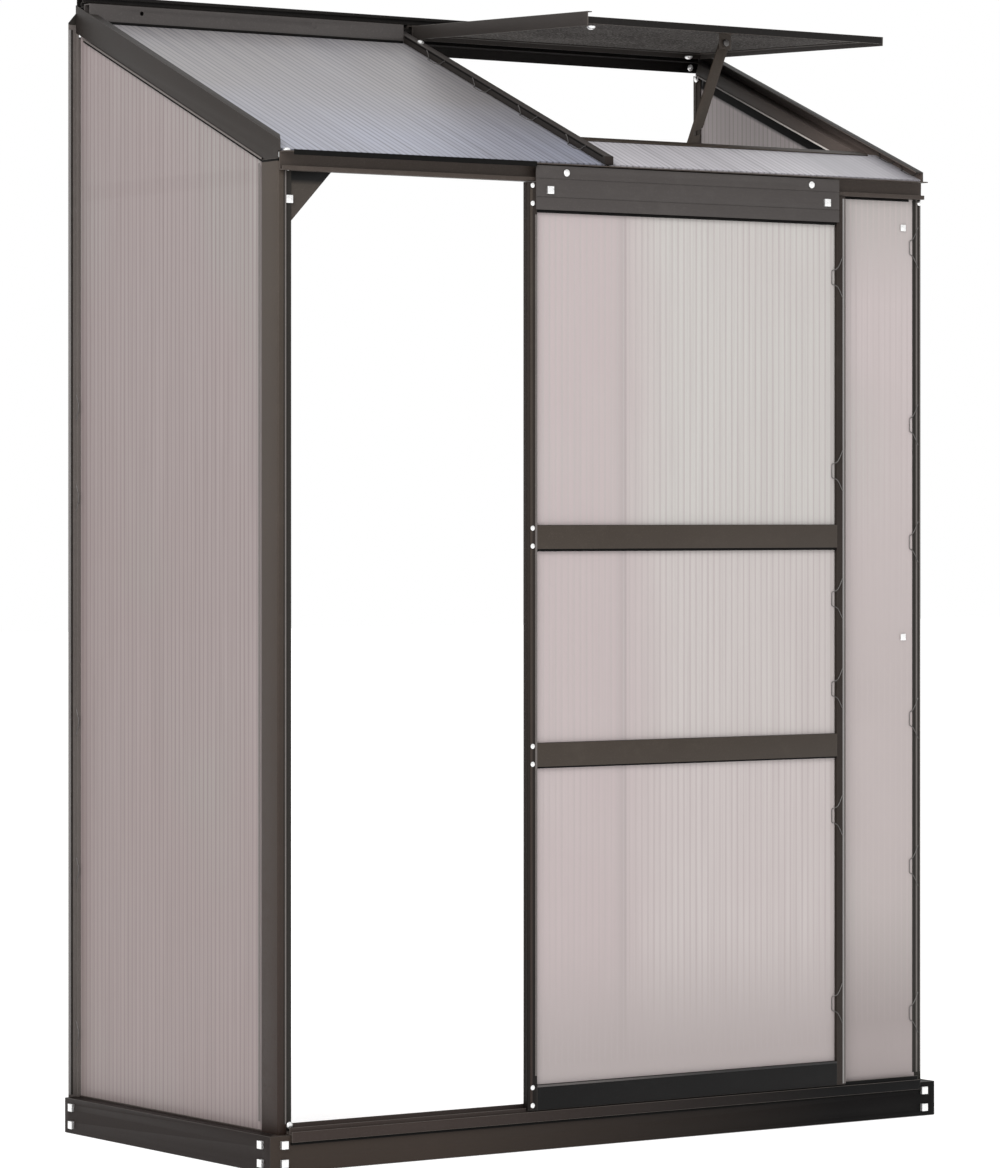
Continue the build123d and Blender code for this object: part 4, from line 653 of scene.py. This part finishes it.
SIDE_CLIP = ((0.9, 30, 11), (0.9, 26, 9), (0.9, 19, 2), (3, 15, 0.9), (8, 11, 0.8), (8, -9, 0.8),
             (3, -13, 0.9), (0.9, -17, 2), (0.9, -24, 9), (0.9, -28, 11))
BESIDE_FRONT_BAR = (pi / 2, pi, 0)
BESIDE_REAR_POST = (pi / 2, 0, -pi / 2)
BESIDE_RAFTER = (-ROOF_PITCH, 0, pi)
STILE_LINE, STILE_CLIPS = (0.440, -0.3096), (1.383, 1.067, 0.858, 0.711, 0.504, 0.197)
POST_LINE, POST_CLIPS = (0.6112, -0.2953), (1.437, 1.144, 0.950, 0.658, 0.414, 0.171)
REAR_LINE, REAR_CLIPS = (-0.6300, 0.3035), (1.167, 1.021, 0.660, 0.421, 0.157)
RAFTER_CLIPS = ((-0.022, (0.181, 0.047, -0.084, -0.217)), (0.6284, (-0.205, -0.262)))
wire = mottled("dull_wire", scale=260.0, detail=3.0, tones=((0.045, 0.042, 0.04), (0.20, 0.19, 0.185)),
               rough=(0.3, 0.6), plain={"Metallic": 0.7})


def bent_wire(name, bends):
    """One clip bent from wire, as a mesh about its own middle."""
    line = bpy.data.curves.new(name, "CURVE")
    line.dimensions = "3D"
    line.bevel_depth = WIRE
    line.bevel_resolution = 1
    line.use_fill_caps = True
    run = line.splines.new("POLY")
    run.points.add(len(bends) - 1)
    for point, bend in zip(run.points, bends):
        point.co = (*(MILLIMETRE * value for value in bend), 1)
    clip = bpy.data.objects.new(name, line)
    bpy.context.scene.collection.objects.link(clip)
    alone(clip)
    bpy.ops.object.convert(target="MESH")
    return bpy.context.object


def set_out(piece, name, spots, finish, body):
    """Copies of one modelled piece, each turned and set in its spot, then joined as one group."""
    copies = []
    for turn, spot in spots:
        one = bpy.data.objects.new(name, piece.data.copy())
        bpy.context.scene.collection.objects.link(one)
        one.rotation_euler = turn
        one.location = spot
        copies.append(one)
    bpy.data.objects.remove(piece)
    bpy.ops.object.select_all(action="DESELECT")
    for one in copies:
        one.select_set(True)
    group = copies[0]
    bpy.context.view_layer.objects.active = group
    bpy.ops.object.transform_apply(location=True, rotation=True, scale=True)
    if len(copies) > 1:
        bpy.ops.object.join()
    group.name = name
    group.data.materials.clear()
    group.data.materials.append(finish)
    bpy.ops.object.shade_smooth_by_angle(angle=FASTENER_SMOOTH)
    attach(group, body)
    return group


def roof_top(y):
    """Height of the fixed roof sheet's top face."""
    low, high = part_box("left_roof_pane")
    foot_y = low.y + SHEET * sin(ROOF_PITCH)
    return low.z + (y - foot_y) * tan(ROOF_PITCH) + SHEET / cos(ROOF_PITCH)


post_spots = [(BESIDE_FRONT_BAR, (*POST_LINE, z)) for z in POST_CLIPS]
rear_spots = [(BESIDE_REAR_POST, (*REAR_LINE, z)) for z in REAR_CLIPS]
stile_spots = [(BESIDE_FRONT_BAR, (*STILE_LINE, z)) for z in STILE_CLIPS]
rafter_spots = [(BESIDE_RAFTER, (x, y, roof_top(y))) for x, depths in RAFTER_CLIPS for y in depths]
set_out(bent_wire("flush_clip", FLUSH_CLIP), "post_clips", post_spots, wire, "frame")
set_out(bent_wire("rear_clip", REAR_CLIP), "rear_clips", rear_spots, wire, "frame")
set_out(bent_wire("side_clip", SIDE_CLIP), "rafter_clips", rafter_spots, wire, "frame")
set_out(bent_wire("face_clip", FACE_CLIP), "stile_clips", stile_spots, wire, "door")


# Door frame. Two extruded stiles and four rails, coped and riveted, with a ribbed header plate in front
# of the rollers and black rubber where each sheet meets the rail above, standing for the shadow under each
# rail: painted shade. Bronze coat; the bottom rail and the foot of the left stile are painted darker as
# shade, and the header is a lighter copy of the coat, painted light.
bronze_deep = coated("bronze_deep", (0.0185, 0.0138, 0.0115), (0.032, 0.026, 0.0225), shine=0.13)
# Painted shade: the left stile darkens towards its foot, and the bottom rail is near-black.
bronze_stile_shaded = coated("bronze_stile_shaded", (0.0170, 0.0126, 0.0104), (0.030, 0.024, 0.0205), shine=0.13,
                      far=((0.0040, 0.0028, 0.0022), (0.0090, 0.0070, 0.0060), "Z", 0.95, 0.05))
bronze_black_shade = coated("bronze_black_shade", (0.0065, 0.0063, 0.0063), (0.014, 0.0135, 0.0135), shine=0.08)
# Painted highlight: the bottom rail's pale lip, bright at the left and fading to the right.
rail_lip_highlight = coated("rail_lip_highlight", (0.072, 0.065, 0.063), (0.105, 0.096, 0.093), shine=0.2, gloss=0.42,
                  far=((0.016, 0.0155, 0.0155), (0.026, 0.025, 0.025), "X", -0.08, 0.22))
DOOR_FRAME = (("door_upper_rail", bronze), ("door_lower_rail", bronze), ("door_header_cleats", bronze),
              ("door_header", bronze_grey_lit), ("door_left_stile", bronze_stile_shaded),
              ("door_right_stile", bronze_deep), ("door_bottom_rail", bronze_black_shade))
DOOR_TRIM = (("stile_lip", (0.0038, 0.0005, 1.3470), (-0.1619, -0.3097, 0.7905), bronze_wear_and_highlight),
             ("stile_rib", (0.0044, 0.0005, 1.4400), (-0.1712, -0.3097, 0.7850), bronze_post_foot_shade),
             ("far_stile_lip", (0.0030, 0.0005, 1.4460), (0.4530, -0.3097, 0.7880), pale_alloy_highlight),
             ("far_stile_edge", (0.0028, 0.0005, 1.4460), (0.4565, -0.3097, 0.7880), bronze_wear_and_highlight),
             ("bottom_rail_lip", (0.5990, 0.0007, 0.0032), (0.1400, -0.3098, 0.1003), rail_lip_highlight))
# Black rubber strips under the header and rails, laid as painted shadow lines.
RAIL_SHADOW_SECTION, RAIL_SHADOW_PLAN = (0.5980, 0.0050), (0.1400, -0.3061)
RAIL_SHADOWS = (("header_shadow", 1.4720, 0.0044), ("upper_rail_shadow", 0.9410, 0.0040),
              ("lower_rail_shadow", 0.6000, 0.0026))
for node, finish in DOOR_FRAME:
    alloy(node, finish)
for name, size, spot, finish in DOOR_TRIM:
    slim_bar(name, size, spot, finish, "door")
for name, foot, drop in RAIL_SHADOWS:
    rubber_shade_strip(name, (*RAIL_SHADOW_SECTION, drop), (*RAIL_SHADOW_PLAN, foot - drop / 2), "door")


# Door sheets. Three twin-wall sheets slid into the stiles' grooves, milky with a cool bloom where the
# fixed sheet stands behind them, a band of painted shade where the middle post stands behind them, and
# painted shade at the foot of the lowest one.
DOOR_PINK = (0.392, 0.333, 0.333)
DOOR_FADE = ("X", -0.03, 0.14)
BEHIND_EDGE = (-0.008, 0.018, (0.318, 0.278, 0.276))
FOOT_SHADE = (0.0, 0.36, 0.10, (0.318, 0.280, 0.275))
DOOR_SHEETS = (("door_upper_pane", "door_bloom", (0.434, 0.416, 0.398), (0.352, 0.318, 0.312), None),
               ("door_middle_pane", "door_milk", (0.432, 0.398, 0.386), (0.352, 0.312, 0.307), None),
               ("door_lower_pane", "door_foot", (0.432, 0.390, 0.382), (0.352, 0.308, 0.304), FOOT_SHADE))
for node, name, milk, web, painted_shade in DOOR_SHEETS:
    front_sheet(node, sheet_finish(name, "X", "Z", (DOOR_PINK, milk), web, haze=0.95, fade=DOOR_FADE,
                                   edge=BEHIND_EDGE, painted_shade=painted_shade))


# Door fastenings. Blind rivets with domed heads at every rail end, square bolts through the header into
# its cleats, and the two roller axles with turned heads. Zinc-plated steel.
RIVET = (0.0039, 0.0018)
RIVET_LEVELS = (0.071, 0.099, 0.6045, 0.6325, 0.9455, 0.9735, 1.4813, 1.5093)
RIVET_FRONT, RIVET_SIDE = (-0.169, -0.3096), (0.458, -0.3036)
HEADER_BOLT_EDGE = 0.0012
AXLE_EDGE = 0.0004
AXLE_HEAD = (0.0056, 0.0033)
AXLES = ((-0.105, -0.3116, 1.531), (0.385, -0.3116, 1.531))
HEAD_SIDES = 18
RIM, SHOULDER, CROWN = 0.45, 0.36, 0.19
SHOULDER_IN, CROWN_IN = 0.28, 0.36
TO_FRONT = (pi / 2, 0, 0)
TO_RIGHT = (0, pi / 2, 0)


def domed_head(name, radius, height):
    """A round head, flat underneath and drawn up to a low dome, with its foot at the origin."""
    bpy.ops.object.select_all(action="DESELECT")
    bpy.ops.mesh.primitive_cylinder_add(vertices=HEAD_SIDES, radius=radius, depth=RIM * height,
                                        location=(0, 0, RIM * height / 2))
    head = bpy.context.object
    head.name = name
    bpy.ops.object.transform_apply(location=True, rotation=True, scale=True)
    bpy.ops.object.mode_set(mode="EDIT")
    bpy.ops.mesh.select_mode(type="FACE")
    bpy.ops.mesh.select_all(action="DESELECT")
    shape = bmesh.from_edit_mesh(head.data)
    for face in shape.faces:
        face.select = face.normal.z > 0.9
    bmesh.update_edit_mesh(head.data)
    bpy.ops.mesh.inset(thickness=SHOULDER_IN * radius, depth=SHOULDER * height)
    bpy.ops.mesh.inset(thickness=CROWN_IN * radius, depth=CROWN * height)
    bpy.ops.object.mode_set(mode="OBJECT")
    return head


rivet_spots = [(TO_FRONT, (*RIVET_FRONT, z)) for z in RIVET_LEVELS]
rivet_spots += [(TO_RIGHT, (*RIVET_SIDE, z)) for z in RIVET_LEVELS]
rivets = set_out(domed_head("rivet", *RIVET), "rivets", rivet_spots, zinc, "door")
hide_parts("door_rivets")
eased("door_header_bolts", zinc, zinc, HEADER_BOLT_EDGE, BOLT_STEPS)
eased("roller_axles", zinc, zinc, AXLE_EDGE)
axle_spots = [(TO_FRONT, spot) for spot in AXLES]
set_out(domed_head("axle_head", *AXLE_HEAD), "axle_heads", axle_spots, zinc, "door")


# Rollers and glides. Moulded black nylon: grooved wheels that run on the track, and shoes that
# straddle the sill's rib. Satin, with the faint mottle of glass filling.
MOULDED_EDGE = 0.0004
black_nylon = mottled("nylon", scale=380.0, detail=4.0, tones=((0.010, 0.010, 0.011), (0.035, 0.034, 0.033)),
                      rough=(0.32, 0.55), plain={})
for node in ("left_roller", "right_roller", "door_glides"):
    eased(node, black_nylon, black_nylon, MOULDED_EDGE)


# Vent frame and stay. A light frame of four rails whose top one ends in a bead, hooked into the wall bar,
# and a flat stay that drops over the peg. Bronze coat, its top and side rails a darker, greyer copy as
# painted shade, and near-black painted shade along the front rail; the left rail's flange is cut back at
# its tip, and the pivot is a bolt gone dull.
VENT_FLANGE_TIP = (0.0105, -0.2212, 1.79)
VENT_FLANGE_BACK = (0, 0.018, 0.0006)
PIVOT_EDGE = 0.0005
bronze_vent_shade = coated("bronze_vent_shade", (0.0270, 0.0228, 0.0205), (0.045, 0.039, 0.036), shine=0.18)
for node in ("vent_top_rail", "vent_right_rail"):
    alloy(node, bronze_vent_shade)
drawn_back(alloy("vent_left_rail", bronze_vent_shade), VENT_FLANGE_BACK, VENT_FLANGE_TIP)
for node in ("stay_bracket", "vent_stay"):
    alloy(node, bronze)
alloy("vent_front_rail", bar_black_shade)
eased("stay_pivot", wire, wire, PIVOT_EDGE)


# Vent sheet. The same twin-wall sheet, set in the vent's rails. Its underside is painted dark as its own
# shade, with a fine dark speckle over broad blots.
VENT_TILT = radians(1.85)


def shaded_underside():
    """Painted shade on a sheet's underside: dark, with a fine speckle over broad blots."""
    finish, tree, shader = new_finish("shaded_underside")
    where = surface(tree)
    speckle = noise(tree, where, scale=240.0, detail=3.0, roughness=0.7)
    blot = noise(tree, where, scale=9.0, detail=4.0)
    wash = maths(tree, "MULTIPLY_ADD", blot, 0.5, ranged(tree, speckle, (0.5, 0.68)), clamp=True)
    feed(tree, shader, {"Base Color": blended(tree, wash, (0.024, 0.022, 0.021), (0.150, 0.142, 0.136)),
                        "Normal": relief(tree, speckle, strength=0.2, distance=0.0005),
                        "Roughness": 0.8, "Specular IOR Level": 0.0})
    return finish


vent_sheet = sloping_sheet("vent_pane", roof_cool, VENT_TILT)
refinish(vent_sheet, shaded_underside(), lambda face: face.normal.z < -0.5)


# Ridge and eave fixings. Domed bolts driven when the roof is on, by the hinge, along the right end, at the
# jamb's foot, at the ends of the eave and under the vent, and two square heads that hold the fixed sheet.
# Zinc-plated steel; a coated cap closes the cover's inner screw hole.
TO_LEFT = (0, -pi / 2, 0)
DOWN = (pi, 0, 0)
UPRIGHT = (0, 0, 0)
ROOF_BOLT, EAVE_BOLT = (0.0056, 0.0042), (0.0040, 0.0032)
VENT_BOLT, SCREW_CAP = (0.0068, 0.0054), (0.0050, 0.0006)
HINGE_BOLT_Y = 0.234
HINGE_BOLT_RISE = 0.0141
ROOF_BOLTS = ((UP_SLOPE, (-0.014, HINGE_BOLT_Y, roof_top(HINGE_BOLT_Y) + HINGE_BOLT_RISE)),
              (TO_LEFT, (0.618, 0.305, 1.7590)), (TO_FRONT, (0.5930, 0.2914, 1.7765)),
              (TO_FRONT, (-0.6068, -0.2904, 0.0690)), (UPRIGHT, (-0.6215, -0.3070, 1.5450)))
EAVE_BOLTS = ((TO_FRONT, (-0.6135, -0.2970, 1.5193)), (TO_FRONT, (0.6246, -0.2950, 1.5100)))
VENT_BOLTS = ((DOWN, (0.0114, -0.2165, 1.7758)), (DOWN, (0.5705, 0.2660, 1.7940)))
COVER_CAPS = ((TO_FRONT, (-0.2000, 0.2730, 1.8049)),)
SHEET_BOLT, SHEET_BOLT_EDGE = (0.0110, 0.0018, 0.0110), 0.0007
SHEET_BOLT_LINE, SHEET_BOLT_LEVELS = (0.5904, -0.2960), (1.4684, 0.7924)
set_out(domed_head("roof_bolt", *ROOF_BOLT), "roof_bolts", ROOF_BOLTS, zinc, "frame")
set_out(domed_head("eave_bolt", *EAVE_BOLT), "eave_bolts", EAVE_BOLTS, zinc, "frame")
set_out(domed_head("vent_bolt", *VENT_BOLT), "vent_bolts", VENT_BOLTS, zinc, "vent")
set_out(domed_head("screw_cap", *SCREW_CAP), "cover_cap", COVER_CAPS, cover_grey, "frame")
for level in SHEET_BOLT_LEVELS:
    slim_bar("sheet_bolt_" + str(round(level / MILLIMETRE)), SHEET_BOLT, (*SHEET_BOLT_LINE, level), zinc,
             slot="bright_steel", ease=SHEET_BOLT_EDGE)


# Stage. A pale floor just under the base, in a white room, with one large soft lamp high on the left.
# The floor glows a little, so that it stays as white as the room behind it.
FLOOR_SIZE, FLOOR_LEVEL = 60.0, -0.0005
FLOOR_TONE = (0.9, 0.9, 0.9, 1)
FLOOR_GLOW = 0.42
WHITE = (1, 1, 1, 1)
KEY_PLACE = (-5.0, -3.6, 4.4)
KEY_AIM = (0.0, 0.0, 1.1)
KEY_SIZE = 3.2
KEY_POWER = 260.0
bpy.ops.object.select_all(action="DESELECT")
bpy.ops.mesh.primitive_plane_add(size=FLOOR_SIZE, location=(0, 0, FLOOR_LEVEL))
floor_sheet = bpy.context.object
floor_sheet.name = "floor"
pale, pale_tree, pale_shader = new_finish("pale_floor")
feed(pale_tree, pale_shader, {"Base Color": FLOOR_TONE, "Roughness": 0.9, "Specular IOR Level": 0.0,
                              "Emission Color": WHITE, "Emission Strength": FLOOR_GLOW})
floor_sheet.data.materials.append(pale)
world = bpy.data.worlds.new("room")
bpy.context.scene.world = world
world.use_nodes = True
feed(world.node_tree, world.node_tree.nodes["Background"], {"Color": WHITE, "Strength": 1.0})
bpy.context.scene.view_settings.view_transform = "Standard"
lamp = bpy.data.lights.new("soft_key", "AREA")
lamp.shape = "DISK"
lamp.size = KEY_SIZE
lamp.energy = KEY_POWER
key = bpy.data.objects.new("soft_key", lamp)
key.location = KEY_PLACE
key.rotation_euler = (Vector(KEY_AIM) - Vector(KEY_PLACE)).to_track_quat("-Z", "Y").to_euler()
bpy.context.scene.collection.objects.link(key)


# Camera. It stands level in front and to the left, with a long lens. The photograph's framing is a
# vertical shift of the lens.
CAMERA_PLACE = (-4.6338, -6.6328, 0.9943)
CAMERA_HEADING = -34.85
CAMERA_LENS = 178.297
CAMERA_SENSOR = 36.0
CAMERA_SHIFT = -0.06915
lens = bpy.data.cameras.new("camera")
lens.sensor_fit = "HORIZONTAL"
lens.sensor_width = CAMERA_SENSOR
lens.lens = CAMERA_LENS
lens.shift_y = CAMERA_SHIFT
camera = bpy.data.objects.new("camera", lens)
camera.location = CAMERA_PLACE
camera.rotation_euler = (pi / 2, 0, radians(CAMERA_HEADING))
bpy.context.scene.collection.objects.link(camera)
bpy.context.scene.camera = camera
